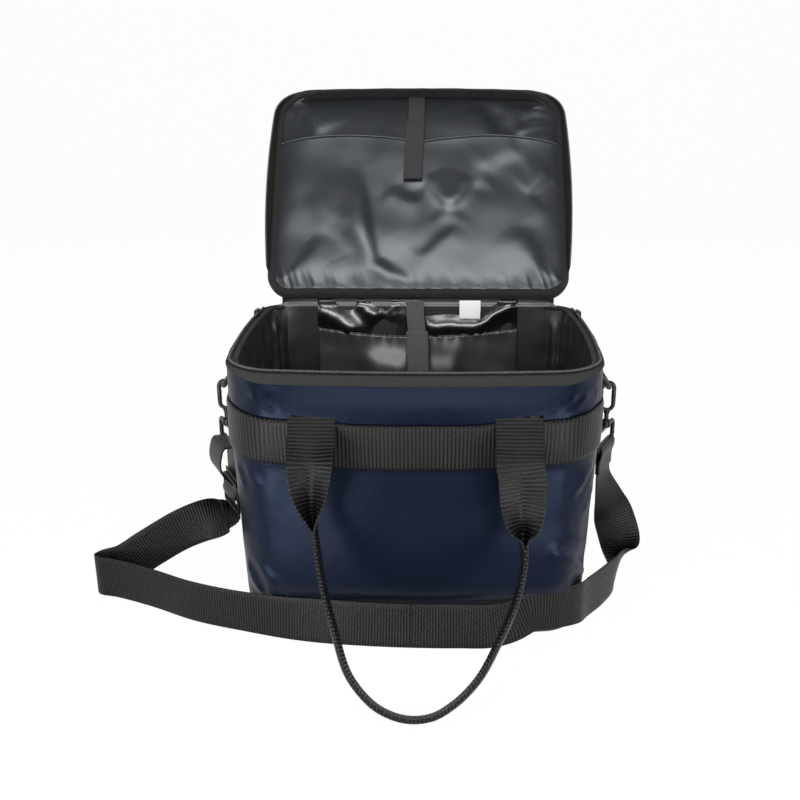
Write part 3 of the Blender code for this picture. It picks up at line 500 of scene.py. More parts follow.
def make_camera():
    scene = bpy.context.scene
    scene.view_settings.view_transform = "Standard"
    camera = bpy.data.objects.new("camera", bpy.data.cameras.new("camera"))
    scene.collection.objects.link(camera)
    back, camera.rotation_euler = seen_from(CAMERA_AZIMUTH, CAMERA_ELEVATION)
    camera.location = AIM + back * CAMERA_DISTANCE
    camera.data.sensor_width = 36.0
    camera.data.lens = CAMERA_LENS
    camera.data.shift_x, camera.data.shift_y = CAMERA_SHIFT
    scene.camera = camera


def make_floor():
    shader = Shader("pale_floor", 0.9, specular=0.0)
    seen = shader.seen_rays()
    shader.set("Base Color", shader.mix(seen, (0.40, 0.40, 0.40), (0.86, 0.86, 0.86)))
    white = shader.node("Emission", {"Color": WHITE, "Strength": 1.0})
    shown = shader.math("MULTIPLY", seen, 0.97)
    blend = shader.node("MixShader", {0: shown, 1: shader.out.outputs[0], 2: white.outputs[0]})
    shader.feed(shader.tree.nodes["Material Output"].inputs["Surface"], blend.outputs[0])
    curve = [(-FLOOR_HALF, 0.0), (FLOOR_BACK, 0.0)]
    for turn in np.linspace(0.15, 1.57, 10):
        curve.append((FLOOR_BACK + FLOOR_CURVE * math.sin(turn), FLOOR_CURVE - FLOOR_CURVE * math.cos(turn)))
    curve.append((FLOOR_BACK + FLOOR_CURVE, FLOOR_TOP))
    grid = np.array([[(x, y, z) for x in (-FLOOR_HALF, FLOOR_HALF)] for y, z in curve])
    floor = add_mesh("floor", grid, grid_faces(len(curve), 2), shader.material)


def make_light():
    world = bpy.data.worlds.new("studio")
    world.use_nodes = True
    sky = Nodes(world.node_tree)
    fill = sky.tree.nodes["Background"]
    fill.inputs[0].default_value = (0.94, 0.96, 1.0, 1.0)
    fill.inputs[1].default_value = 0.12
    white = sky.node("Background", {0: WHITE})
    # white near the horizon, where the background is; plain soft light overhead
    up = sky.node("SeparateXYZ", {0: sky.node("TexCoord").outputs["Generated"]}).outputs[2]
    limits = {0: up, 1: 0.22, 2: 0.45, 3: 1.0, 4: 0.0}
    low = sky.node("MapRange", limits, interpolation_type="SMOOTHSTEP").outputs[0]
    share = sky.math("MULTIPLY", low, sky.seen_rays())
    blend = sky.node("MixShader", {0: share, 1: fill.outputs[0], 2: white.outputs[0]})
    sky.feed(sky.tree.nodes["World Output"].inputs[0], blend.outputs[0])
    bpy.context.scene.world = world
    for name, azimuth, elevation, distance, width, height, brightness in LAMPS:
        lamp = bpy.data.lights.new(name, "AREA")
        lamp.shape = "RECTANGLE"
        lamp.size = width
        lamp.size_y = height
        lamp.energy = brightness * math.pi * width * height
        item = bpy.data.objects.new(name, lamp)
        bpy.context.scene.collection.objects.link(item)
        towards, item.rotation_euler = seen_from(azimuth, elevation)
        item.location = AIM + towards * distance


# Shoulder strap, its route as in the solids

STRAP_ROUTE = (
    ((0.176, 0.001, 0.075), (0.80, 0.60, 0.0)),
    ((0.183, 0.002, 0.056), (1.0, 0.1, 0.0)),
    ((0.188, -0.002, 0.038), (0.85, -0.1, 0.5)),
    ((0.187, -0.014, 0.0245), (0.4, 0.0, 0.9)),
    ((0.180, -0.034, 0.0205), (0.1, 0.0, 1.0)),
    ((0.167, -0.056, 0.0205), (0.0, 0.0, 1.0)),
    ((0.149, -0.083, 0.0230), (0.0, 0.0, 1.0)),
    ((0.139, -0.1005, 0.0265), (0.0, 0.0, 1.0)),
    ((0.120, -0.1135, 0.0290), (0.0, 0.0, 1.0)),
    ((0.096, -0.1205, 0.0285), (0.0, 0.0, 1.0)),
    ((0.082, -0.1245, 0.0230), (0.0, 0.05, 1.0)),
    ((0.067, -0.1270, 0.0200), (0.0, 0.15, 1.0)),
    ((0.036, -0.1280, 0.0195), (0.0, 0.20, 1.0)),
    ((0.000, -0.1280, 0.0195), (0.0, 0.18, 1.0)),
    ((-0.040, -0.1255, 0.0195), (0.0, 0.20, 1.0)),
    ((-0.078, -0.1210, 0.0195), (0.0, 0.22, 1.0)),
    ((-0.105, -0.1170, 0.0195), (0.0, 0.10, 1.0)),
    ((-0.140, -0.108, 0.0195), (0.0, 0.0, 1.0)),
    ((-0.188, -0.091, 0.0195), (0.0, 0.0, 1.0)),
    ((-0.234, -0.066, 0.0195), (0.0, 0.0, 1.0)),
    ((-0.270, -0.050, 0.0195), (0.0, 0.0, 1.0)),
    ((-0.284, -0.0455, 0.0195), (0.0, 0.0, 1.0)),
    ((-0.2875, -0.041, 0.0195), (0.0, 0.0, 1.0)),
    ((-0.284, -0.0365, 0.0200), (0.0, 0.0, 1.0)),
    ((-0.264, -0.0325, 0.0245), (-0.2, 0.0, 0.97)),
    ((-0.241, -0.026, 0.0375), (-0.3, 0.0, 0.95)),
    ((-0.209, -0.013, 0.0525), (-0.4, 0.1, 0.90)),
    ((-0.191, -0.006, 0.0570), (-0.42, 0.3, 0.80)),
    ((-0.180, -0.0025, 0.0580), (-0.44, 0.6, 0.55)),
    ((-0.1720, -0.0005, 0.0600), (-0.44, 0.85, 0.20)),
)
STRAP_SPLIT = 13
EYE_X = 0.169
EYE_YAW = math.radians(64.0)
STRAP_RIGHT_TOP = 0.108
STRAP_LEFT_TOP = 0.0657
STRAP_LEAD = 0.006


def make_strap():
    """Two halves that meet at the front, each held by the ring on its side."""
    start = (EYE_X, 0.0, STRAP_RIGHT_TOP)
    across = (math.cos(EYE_YAW), math.sin(EYE_YAW), 0.0)
    right = [(start, across), ((EYE_X, 0.0, STRAP_RIGHT_TOP - STRAP_LEAD), across)]
    right += list(STRAP_ROUTE[: STRAP_SPLIT + 1])
    end = (-EYE_X, 0.0, STRAP_LEFT_TOP)
    across = (-math.cos(EYE_YAW), math.sin(EYE_YAW), 0.0)
    left = list(STRAP_ROUTE[STRAP_SPLIT:])
    left += [((-EYE_X, 0.0, STRAP_LEFT_TOP - STRAP_LEAD), across), (end, across)]
    whole = smooth_line([[*p, *a] for p, a in right + left[1:]], 0.004)
    split = np.argmin(np.linalg.norm(whole[:, :3] - np.array(STRAP_ROUTE[STRAP_SPLIT][0]), axis=1))
    halves = (("right", whole[: split + 1], start), ("left", whole[split:], end))
    for name, rows, exit_point in halves:
        stations = [(row[:3], row[3:6]) for row in rows]
        strap, line = add_strap(name + "_shoulder_strap", stations, STRAP_WEBBING)
        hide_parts("shoulder_strap")
        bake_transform(strap)


# Walls


def plan(inset, side_bow=SIDE_BOW, front_bow=FRONT_BOW):
    """Outline seen from above, from the middle of the back round the left, front and right."""
    half = BODY_WIDTH / 2 - inset
    deep = BODY_DEPTH / 2 - inset
    front = FRONT_CORNER - inset
    back = BACK_CORNER - inset

    def line(x0, y0, x1, y1, count):
        share = np.linspace(0.0, 1.0, count, endpoint=False)
        return np.stack([blend_between(x0, x1, share), blend_between(y0, y1, share)], 1)

    def arc(x, y, radius, quarter):
        turns = (quarter + np.linspace(0.0, 1.0, CORNER_COLUMNS, endpoint=False)) * math.pi / 2
        return np.stack([x + radius * np.cos(turns), y + radius * np.sin(turns)], 1)

    stretches = (
        line(0.0, deep, back - half, deep, BACK_COLUMNS // 2),
        arc(back - half, deep - back, back, 1),
        line(-half, deep - back, -half, front - deep, SIDE_COLUMNS),
        arc(front - half, front - deep, front, 2),
        line(front - half, -deep, half - front, -deep, FRONT_COLUMNS),
        arc(half - front, front - deep, front, 3),
        line(half, front - deep, half, deep - back, SIDE_COLUMNS),
        arc(half - back, deep - back, back, 0),
        line(half - back, deep, 0.0, deep, BACK_COLUMNS // 2),
        [(0.0, deep)],
    )
    xy = np.concatenate(stretches)
    out = side_bow * (1 - (xy[:, 1] / deep) ** 2) * xy[:, 0] / half
    forward = front_bow * (1 - (xy[:, 0] / half) ** 2) * np.minimum(xy[:, 1], 0.0) / deep
    return xy + np.stack([out, forward], 1)


def outward(outline):
    ahead = np.gradient(outline, axis=0)
    ahead[0] = ahead[-1] = outline[1] - outline[-2]
    return unit(np.stack([ahead[:, 1], -ahead[:, 0]], 1))


# Distance of each column round the outline from the middle of the front, positive to the right
AROUND = lengths(plan(0.0))
AROUND = AROUND - AROUND[len(AROUND) // 2]

# Columns that carry the zip, from one back corner to the other
ZIP_START = BACK_COLUMNS // 2 + CORNER_COLUMNS
ZIP_COLUMNS = slice(ZIP_START, len(AROUND) - ZIP_START)


def lean_in(z):
    share = np.clip(z / BODY_HEIGHT, 0.0, 1.0)
    return BASE_TAPER * (1 - share) - BELLY * np.sin(math.pi * share)


def wall(heights, inset=0.0, push=None):
    """Rows of the body's wall at some heights, pushed out by push(distance round, height)."""
    rows = []
    for z in heights:
        outline = plan(inset + lean_in(z))
        if push:
            outline = outline + outward(outline) * push(AROUND, z)[:, None]
        rows.append(at_height(outline, z))
    return np.array(rows)


def fold(u, v, start, end, width, height):
    """Soft ridge from start to end in a sheet, fading at its ends, with a slight dip on one side."""
    start, end = np.array(start), np.array(end)
    run = end - start
    size = np.linalg.norm(run)
    ahead = run / size
    along = ((u - start[0]) * ahead[0] + (v - start[1]) * ahead[1]) / size
    aside = ((v - start[1]) * ahead[0] - (u - start[0]) * ahead[1]) / width
    fade = smooth(along / 0.35 + 0.3) * smooth((1 - along) / 0.35 + 0.3)
    ridge = np.exp(-aside ** 2) - 0.55 * np.exp(-(aside - 1.6) ** 2)
    return height * fade * ridge


def pleat(u, v, points, width, height):
    """Soft step along a bent line in a sheet, higher on the line's left, that dies out to either side."""
    nearest = np.full(np.shape(u), np.inf)
    result = np.zeros(np.shape(u))
    points = np.array(points)
    total = lengths(points)[-1]
    run = 0.0
    for start, end in zip(points[:-1], points[1:]):
        size = np.linalg.norm(end - start)
        ahead = (end - start) / size
        along = np.clip((u - start[0]) * ahead[0] + (v - start[1]) * ahead[1], 0.0, size)
        off_u = u - start[0] - along * ahead[0]
        off_v = v - start[1] - along * ahead[1]
        aside = np.hypot(off_u, off_v) / width
        side = np.tanh((off_v * ahead[0] - off_u * ahead[1]) / width)
        share = (run + along) / total
        fade = smooth(share / 0.3 + 0.15) * smooth((1 - share) / 0.3 + 0.15)
        closer = aside < nearest
        result = np.where(closer, height * side * fade * np.exp(-(aside / 3.2) ** 2), result)
        nearest = np.minimum(nearest, aside)
        run += size
    return result


def ripple(u, v, size, turn=0.0):
    """Gentle irregular swell, from -1 to 1, of a rough size in metres."""
    k = 2 * math.pi / size
    first = np.sin(k * (u + 0.31 * v) + turn) * np.sin(k * (0.83 * v - 0.22 * u) + 1.7 * turn)
    second = np.sin(k * 1.73 * (0.62 * u - v) + 2.1 + turn) * np.sin(k * 1.41 * (u + 0.57 * v) + turn)
    return 0.6 * first + 0.4 * second


# Creases of the front and its corners: start, end (distance round, height), width, height
CREASES = (
    ((-0.124, 0.216), (-0.112, 0.201), 0.0030, 0.0014),
    ((-0.112, 0.216), (-0.098, 0.204), 0.0035, 0.0010),
    ((-0.134, 0.152), (-0.121, 0.139), 0.0040, 0.0016),
    ((-0.150, 0.150), (-0.138, 0.128), 0.0040, 0.0012),
    ((-0.126, 0.069), (-0.113, 0.055), 0.0045, 0.0018),
    ((-0.113, 0.055), (-0.119, 0.040), 0.0040, 0.0015),
    ((-0.150, 0.062), (-0.128, 0.034), 0.0060, 0.0016),
    ((0.106, 0.203), (0.124, 0.214), 0.0030, 0.0013),
    ((0.116, 0.200), (0.138, 0.213), 0.0032, 0.0014),
    ((0.132, 0.199), (0.150, 0.211), 0.0030, 0.0012),
    ((0.150, 0.151), (0.133, 0.135), 0.0040, 0.0015),
    ((0.142, 0.152), (0.124, 0.128), 0.0050, 0.0014),
    ((0.160, 0.130), (0.142, 0.108), 0.0045, 0.0012),
    ((0.109, 0.088), (0.135, 0.066), 0.0060, 0.0026),
    ((0.133, 0.068), (0.160, 0.048), 0.0055, 0.0024),
    ((0.118, 0.098), (0.150, 0.082), 0.0055, 0.0016),
    ((0.124, 0.050), (0.150, 0.034), 0.0050, 0.0014),
)
TOP_SLOPE = 0.36
TOP_STRAIGHT = 0.011
TOP_EASE = 0.017
PANEL_FOOT = 0.034
PANEL_PEAK = 0.058
PANEL_TOP = 0.154
PANEL_BULGE = 0.0160
RIM_RISE = 0.0062

# Section of the rim band: inset, height
RIM_PROFILE = (
    (-0.0004, 0.2226), (-0.0011, 0.2231), (-0.0012, 0.2245), (-0.0009, 0.2265), (-0.0008, 0.2295),
    (-0.0005, 0.2310), (0.0000, 0.2316), (0.0005, 0.2311), (0.0007, 0.2300), (0.0036, 0.2300),
    (0.0042, 0.2316), (0.0060, 0.2321), (0.0080, 0.2316), (0.0082, 0.2225), (0.0074, 0.2225),
    (0.0070, 0.2290), (0.0014, 0.2290), (0.0008, 0.2275), (0.0006, 0.2226),
)

# How far the belt rides up everywhere, and further changes: distance round, rise, reach
BELT_LIFT = 0.0033
BELT_RISES = ((0.04, 0.0030, 0.04), (0.10, 0.0030, 0.05), (0.18, -0.0093, 0.06))
BELT_GAP = 0.0016
BELT_CROWN = 0.0006
BELT_SELVAGE = 0.0015

# Lining: its foot, its top at the front and sides, and how far it leans back over the rear rim
LINING_FOOT = 0.0080
LINING_TOP = 0.2300
LINING_LEAN = 0.0060


def front_share(s):
    """1 on the front, 0 on the sides and the back."""
    return 1 - smooth((np.abs(s) - 0.105) / 0.055)


def rim_base(s):
    """Lower edge of the rim band, higher round the corners and on the sides."""
    return RIM_BASE + RIM_RISE * smooth((np.abs(s) - 0.115) / 0.05)


def belt_rise(s):
    """How far the belt rides up, more towards the front corners."""
    return BELT_LIFT + sum(rise * smooth((np.abs(s) - start) / reach) for start, rise, reach in BELT_RISES)


def fabric_push(s, z):
    """How far the outer fabric stands out from the plain wall: full below the rim and below the belt."""
    below = np.maximum(rim_base(s) - z, 0.0)
    front = front_share(s)
    eased = np.clip((below - TOP_STRAIGHT) / TOP_EASE, 0.0, 1.0)
    roll = TOP_SLOPE * (np.minimum(below, TOP_STRAIGHT) + TOP_EASE * (eased - eased ** 2 / 2))
    swell = roll * (0.25 + 0.75 * front) * smooth((z - 0.100) / 0.090)
    rise = np.clip((z - PANEL_FOOT) / (PANEL_PEAK - PANEL_FOOT), 0.0, 1.0)
    fall = np.clip((PANEL_TOP - z) / (PANEL_TOP - PANEL_PEAK), 0.0, 1.0)
    panel = np.sin(math.pi / 2 * rise) * np.sin(math.pi / 2 * fall)
    near_corner = np.exp(-((np.abs(s) - 0.140) / 0.045) ** 2)
    total = swell + PANEL_BULGE * panel * front * (1 - 0.5 * np.minimum(np.abs(s) / 0.13, 1.0) ** 2)
    total = total + 0.0005 * ripple(s, z, 0.11) + 0.0003 * near_corner * ripple(s, z, 0.055, 0.9)
    total = total - 0.0012 * (1 - front) * smooth(below / 0.02)
    for start, end, width, height in CREASES:
        total = total + fold(s, z, start, end, width, height)
    held = 1 - np.exp(-below / 0.002)
    return total * held


def make_shell():
    """Walls of navy fabric."""
    # closer rows just under the rim, where the fabric rolls in
    heights = np.concatenate([np.linspace(BASE_EDGE, 0.206, 84), np.linspace(0.2072, 0.2285, 24)])
    fabric = add_sheet("shell_fabric", wall(heights, 0.0, fabric_push), SHELL_THICK, NAVY, body="body",
                       stands_for=("outer_shell", "wall_foam"))


def make_base():
    """Bottom of navy fabric, rounded up to the walls."""
    rows = []
    for turn in np.linspace(0.0, math.pi / 2, 7):
        outline = plan(lean_in(BASE_EDGE) + BASE_EDGE * (1 - math.cos(turn)))
        push = fabric_push(AROUND, BASE_EDGE) * math.cos(turn)
        outline = outline + outward(outline) * push[:, None]
        rows.append(at_height(outline, BASE_EDGE * (1 - math.sin(turn))))
    edge = rows[-1][:, :2]
    for share in (0.93, 0.82, 0.66, 0.48, 0.28, 0.02):
        low = edge * share
        rise = 0.0012 * (1 - share) + 0.0006 * ripple(low[:, 0], low[:, 1], 0.12) * (1 - share)
        rows.append(np.column_stack([low, np.maximum(rise, 0.0)]))
    fabric = add_sheet("base_fabric", np.array(rows)[::-1], BASE_THICK, NAVY, body="body",
                       stands_for=("base_panel", "base_foam"))


def add_band(name, rows, profile, body, node):
    """Tape round the bag or the lid; the rows follow a closed section."""
    uv = band_uv(AROUND, lengths(np.array(profile)))
    faces = grid_faces(len(profile), len(AROUND), wrap_rows=True)
    add_mesh(name, rows, faces, TAPE, body, (node,), uv=uv)


def make_rim():
    """Tape band that closes the top of the walls."""
    rows = []
    for inset, z in RIM_PROFILE:
        outline = plan(inset + lean_in(z))
        wave = 0.00035 * ripple(AROUND, z, 0.06)
        lift = (rim_base(AROUND) - RIM_BASE) * smooth((RIM_TOP - z) / (RIM_TOP - RIM_BASE))
        rows.append(np.column_stack([outline + outward(outline) * wave[:, None], z + lift]))
    add_band("rim_band", np.array(rows), RIM_PROFILE, "body", "rim_tape")


def make_belt():
    """Webbing belt that lies on the fabric all round."""
    heights = np.linspace(BELT_FOOT, BELT_TOP, 14)
    edge = np.minimum(heights - BELT_FOOT, BELT_TOP - heights) / BELT_SELVAGE
    rows = []
    for z, share in zip(heights, np.clip(edge, 0.0, 1.0)):
        lifted = z + belt_rise(AROUND)
        outline = plan(lean_in(z))
        stand = fabric_push(AROUND, lifted) + BELT_GAP + BELT_CROWN * share
        rows.append(np.column_stack([outline + outward(outline) * stand[:, None], lifted]))
    add_sheet("webbing_belt", np.array(rows), BELT_THICK, WEBBING, uv=band_uv(AROUND, heights), body="body",
              stands_for=("belt",))


def make_body_zip():
    outline = plan(COIL_INSET)[ZIP_COLUMNS]
    add_coil("body_coil", at_height(outline, BODY_COIL_Z), "body", "body_zip_coil")


def make_lining():
    """Lining of the walls and of the bottom."""
    inner = wall(np.linspace(LINING_FOOT, LINING_TOP, 90), WALL, liner_push)
    at_back = smooth((np.abs(AROUND) - 0.350) / 0.03)
    inner[..., 2] += (REAR_LINING_TOP - LINING_TOP) * at_back * smooth((inner[..., 2] - 0.17) / 0.06)
    inner[..., 1] += LINING_LEAN * at_back * smooth((inner[..., 2] - 0.2335) / 0.0055)
    lining = add_sheet("wall_lining", inner[:, ::-1], LINING_THICK, DARK_LINING, body="body",
                       stands_for=("liner_wall",))
    rows = []
    for share in (1.0, 0.97, 0.9, 0.75, 0.55, 0.3, 0.02):
        low = plan(WALL + lean_in(LINING_FOOT)) * share
        dome = 0.0075 + 0.0012 * (1 - share) + 0.0010 * ripple(low[:, 0], low[:, 1], 0.09)
        rows.append(np.column_stack([low, dome]))
    floor = np.array(rows)
    lining = add_sheet("floor_lining", floor, LINING_THICK, DARK_LINING, body="body",
                       stands_for=("liner_floor",))


def liner_push(s, z):
    """Slack lining: upright folds on the sides, held flat at the rim and behind the rear pocket."""
    side = smooth((np.abs(s) - 0.10) / 0.05)
    front_or_side = 1 - smooth((np.abs(s) - 0.370) / 0.02)
    share = z / BODY_HEIGHT
    held = smooth((BODY_HEIGHT - z) / 0.03) * smooth(z / 0.03) * front_or_side
    folds = np.sin(s * 2 * math.pi / 0.031 + 1.2 * np.sin(s * 37.0)) * np.sin(2.2 * share + s * 9.0)
    flap = 0.0012 * (1 - front_or_side) * smooth((z - 0.15) / 0.05)
    return -flap - held * (0.0020 + 0.0026 * side * folds + 0.0012 * ripple(s, z, 0.05))


def add_coil(name, outline, body, node):
    """Half of the zip: a bead of fine teeth along the rim from one back corner to the other."""
    line = smooth_line(outline, COIL_SPACING)
    radius = COIL_RADIUS * (0.70 + 0.30 * np.sin(2 * math.pi * lengths(line) / COIL_PITCH))
    return add_rod(name, line, radius, COIL, sides=7, body=body, stands_for=(node,))


# Lid


def open_lid(points):
    """Turn points of the closed lid to where the lid stands open."""
    points = np.array(points, float)
    y = points[..., 1] - HINGE_Y
    z = points[..., 2] - HINGE_Z
    c, s = math.cos(-LID_OPEN), math.sin(-LID_OPEN)
    points[..., 1] = HINGE_Y + y * c - z * s
    points[..., 2] = HINGE_Z + y * s + z * c
    return points


def lid_plan(inset):
    """Outline of the lid, drawn out at the back where its edge hangs over the hinge."""
    outline = plan(inset, 0.0, LID_FRONT_BOW)
    outline[:, 1] += LID_TAIL * np.maximum(outline[:, 1], 0.0) / (BODY_DEPTH / 2)
    return outline


def lid_edges(x, inset):
    """Front and back edges of the lid, as y, at places across it."""
    half = BODY_WIDTH / 2 - inset
    deep = BODY_DEPTH / 2 - inset
    front = FRONT_CORNER - inset
    back = BACK_CORNER - inset
    past = np.clip(np.abs(x) - (half - front), 0.0, front)
    fore = front - np.sqrt(front ** 2 - past ** 2) - deep - LID_FRONT_BOW * (1 - (x / half) ** 2)
    past = np.clip(np.abs(x) - (half - back), 0.0, back)
    rear = deep - back + np.sqrt(back ** 2 - past ** 2)
    return fore, rear * (1 + LID_TAIL / (BODY_DEPTH / 2))


# Pleats of the lid's pocket: points of each (across, distance from the hinge), width, height
LID_PLEATS = (
    (((-0.061, 0.134), (-0.052, 0.090), (-0.047, 0.056), (-0.040, 0.031), (-0.024, 0.019), (0.004, 0.004)),
     0.0065, -0.0020),
    (((-0.118, 0.094), (-0.092, 0.071), (-0.072, 0.062), (-0.056, 0.044), (-0.046, 0.022)), 0.0110, 0.0016),
    (((0.004, 0.122), (0.017, 0.098), (0.030, 0.082)), 0.0060, 0.0012),
    (((0.030, 0.082), (0.043, 0.097), (0.056, 0.121)), 0.0060, 0.0012),
    (((0.000, 0.032), (0.018, 0.052), (0.038, 0.070)), 0.0050, -0.0008),
    (((0.060, 0.126), (0.080, 0.140), (0.104, 0.150)), 0.0080, 0.0012),
    (((0.106, 0.100), (0.124, 0.116), (0.136, 0.124)), 0.0060, 0.0011),
    (((-0.030, 0.112), (-0.014, 0.101), (0.004, 0.095)), 0.0060, -0.0010),
    (((0.096, 0.070), (0.116, 0.040), (0.124, 0.012)), 0.0090, -0.0012),
    (((-0.124, 0.010), (-0.108, 0.038), (-0.098, 0.062)), 0.0070, -0.0008),
)
CORNER_PLEATS = (
    (((0.138, 0.198), (0.118, 0.204), (0.100, 0.202)), 0.0040, 0.0012),
    (((0.138, 0.188), (0.116, 0.186), (0.098, 0.176)), 0.0040, 0.0012),
    (((0.138, 0.178), (0.120, 0.172), (0.104, 0.166)), 0.0035, 0.0010),
    (((0.060, 0.208), (0.070, 0.186), (0.080, 0.164)), 0.0060, -0.0014),
    (((0.084, 0.208), (0.092, 0.188), (0.100, 0.166)), 0.0060, 0.0012),
    (((-0.136, 0.206), (-0.118, 0.192), (-0.104, 0.166)), 0.0090, 0.0016),
)
LINING_PUFF = 0.0045
POCKET_MOUTH = 0.160
POCKET_SCALLOP = 0.008
LID_INSET = 0.0055
LINING_PLANE = LID_FACE + 0.0010
POCKET_GAP = 0.0014
HEM_RADIUS = 0.0007
HINGE_TAPE_FOOT_Y = 0.1112
HINGE_TAPE_TOP_Y = 0.1100
ZIP_TAPE_INSET = 0.0014
ZIP_TAPE_ROOT = 0.0040
ZIP_TAPE_WIDTH = 0.008
LAID_COIL_INSET = 0.0002
LAID_COIL_RISE = 0.0050
FRONT_TAPE_HALF = 0.127
FRONT_TAPE_INSET = 0.0128
FRONT_TAPE_DROP = 0.0145

# Section of the lid's binding: inset, height over the lid's face
BINDING_PROFILE = (
    (0.0074, 0.0004), (0.0070, -0.0008), (0.0056, -0.0014), (0.0034, -0.0013), (0.0012, -0.0006),
    (-0.0002, 0.0012), (-0.0006, 0.0040), (-0.0002, 0.0068), (0.0012, 0.0086), (0.0040, 0.0094),
    (0.0070, 0.0096), (0.0092, 0.0092), (0.0098, 0.0082), (0.0076, 0.0040),
)


def from_edge(x, y):
    """Distance inside the nearest edge of the lid's cloth, and the distance from its back edge."""
    fore, rear = lid_edges(x, LID_INSET)
    away = np.minimum(BODY_WIDTH / 2 - LID_INSET - np.abs(x), np.minimum(y - fore, rear - y))
    return np.maximum(away, 0.0), rear - y


def lid_height(x, y, pleats, pucker):
    """How far the lid's lining stands off its foam towards the inside."""
    away, from_rear = from_edge(x, y)
    held = 1 - np.exp(-away / 0.008)
    run = HINGE_Y - y
    total = LINING_PUFF * (1 - np.exp(-away / 0.016)) + held * 0.0006 * ripple(x, run, 0.110, 0.4)
    for points, width, height in pleats:
        total = total + held * pleat(x, run, points, width, height)
    near_rear = np.exp(-np.maximum(from_rear, 0.0) / 0.006) * held
    turn = 2 * math.pi * (x + 0.35 * from_rear)
    gathers = np.sin(turn / 0.019 + 2.1 * np.sin(x * 47.0)) + 0.7 * np.sin(turn / 0.0071)
    return total + pucker * near_rear * gathers


def lid_sheet(name, low_edge, high_edge, height, base, material, inside, **where):
    """Sheet across the lid between two edges given as y; height stands off the base plane."""
    half = BODY_WIDTH / 2 - LID_INSET
    x = half * np.sin(np.linspace(-math.pi / 2, math.pi / 2, 141))
    low, high = low_edge(x), high_edge(x)
    share = np.linspace(0.0, 1.0, 90)[:, None]
    y = blend_between(high, low, share) if inside else blend_between(low, high, share)
    x = np.broadcast_to(x, y.shape)
    stand = height(x, y)
    z = base - stand if inside else base + stand
    grid = open_lid(np.stack([x, y, z], -1))
    sheet = add_sheet(name, grid, LINING_THICK, material, body="lid", **where)
    return sheet


def pocket_mouth(x):
    half = BODY_WIDTH / 2 - LID_INSET
    return HINGE_Y - POCKET_MOUTH - POCKET_SCALLOP * np.abs(np.sin(math.pi * x / half)) ** 0.8


def make_lid_fabrics():
    """Lining, pocket and cover of the lid, and the pocket's hem."""
    def fore(x):
        return lid_edges(x, LID_INSET)[0]

    def rear(x):
        return lid_edges(x, LID_INSET)[1]

    def lining(x, y):
        return lid_height(x, y, CORNER_PLEATS, 0.0003)

    def pocket(x, y):
        gape = 0.0012 * np.exp(-np.maximum(y - pocket_mouth(x), 0.0) / 0.012)
        return lid_height(x, y, LID_PLEATS, 0.0022) + POCKET_GAP + gape

    def cover(x, y):
        away, _ = from_edge(x, y)
        return 0.005 * (1 - np.exp(-away / 0.02)) + 0.0005 * ripple(x, y, 0.09)

    lid_sheet("lid_lining_fabric", fore, rear, lining, LINING_PLANE, LINING, True,
              stands_for=("lid_lining", "lid_foam"))
    lid_sheet("lid_pocket_fabric", pocket_mouth, rear, pocket, LINING_PLANE, LINING, True,
              stands_for=("lid_pocket",))
    top = LID_FACE + LID_THICK - SHELL_THICK
    fabric = lid_sheet("lid_cover_fabric", fore, rear, cover, top, NAVY, False, stands_for=("lid_cover",))

    half = BODY_WIDTH / 2 - LID_INSET
    x = np.linspace(-half, half, 160)
    y = pocket_mouth(x)
    hem = open_lid(np.stack([x, y, LID_FACE + HEM_RADIUS - pocket(x, y)], 1))
    add_rod("lid_pocket_hem", hem, HEM_RADIUS, LINING, sides=8, body="lid")


def make_binding():
    """Tape bound round the lid's edge."""
    rows = []
    for inset, z in BINDING_PROFILE:
        outline = lid_plan(inset)
        wave = 0.0003 * ripple(AROUND, 0.0, 0.045)
        rows.append(at_height(outline + outward(outline) * wave[:, None], LID_FACE + z))
    add_band("lid_binding_tape", open_lid(rows), BINDING_PROFILE, "lid", "lid_binding")


def make_lid_zip():
    """The lid's half of the zip and its tape, folded back along the front."""
    laid_back = front_share(AROUND[ZIP_COLUMNS])[:, None]
    lid_line = lid_plan(ZIP_TAPE_INSET)[ZIP_COLUMNS]
    laid_line = lid_plan(LAID_COIL_INSET)[ZIP_COLUMNS]
    coil_line = blend_between(plan(COIL_INSET)[ZIP_COLUMNS], laid_line, laid_back)
    coil_z = blend_between(LID_COIL_Z, LID_FACE + LAID_COIL_RISE, laid_back)
    rows = []
    for share in np.linspace(0.0, 1.0, 8):
        line = blend_between(lid_line, coil_line, smooth(share))
        rows.append(np.column_stack([line, blend_between(LID_FACE + ZIP_TAPE_ROOT, coil_z, share)]))
    uv = band_uv(AROUND[ZIP_COLUMNS], np.linspace(0.0, ZIP_TAPE_WIDTH, 8))
    add_sheet("lid_zip_tape_cloth", open_lid(rows), TAPE_THICK, DARK_TAPE, uv=uv, body="lid",
              stands_for=("lid_zip_tape",))
    add_coil("lid_coil", open_lid(np.column_stack([coil_line, coil_z])), "lid", "lid_zip_coil")


def make_front_tape():
    """Tape inside the lid's front edge, which hangs towards the rim when the lid is closed."""
    x = np.linspace(-FRONT_TAPE_HALF, FRONT_TAPE_HALF, 160)
    fore, _ = lid_edges(x, FRONT_TAPE_INSET)
    root = fore + 0.0010 * ripple(x, 0.0, 0.05)
    drop = FRONT_TAPE_DROP * smooth((FRONT_TAPE_HALF - np.abs(x)) / 0.026)
    rows = []
    for share in np.linspace(0.0, 1.0, 8):
        rows.append(np.column_stack([x, blend_between(root, fore, share), LID_FACE - 0.0004 - drop * share]))
    uv = band_uv(x, np.linspace(0.0, FRONT_TAPE_DROP, 8))
    add_sheet("lid_front_tape", open_lid(rows), TAPE_THICK, TAPE, uv=uv, body="lid",
              stands_for=("lid_zip_tape",))


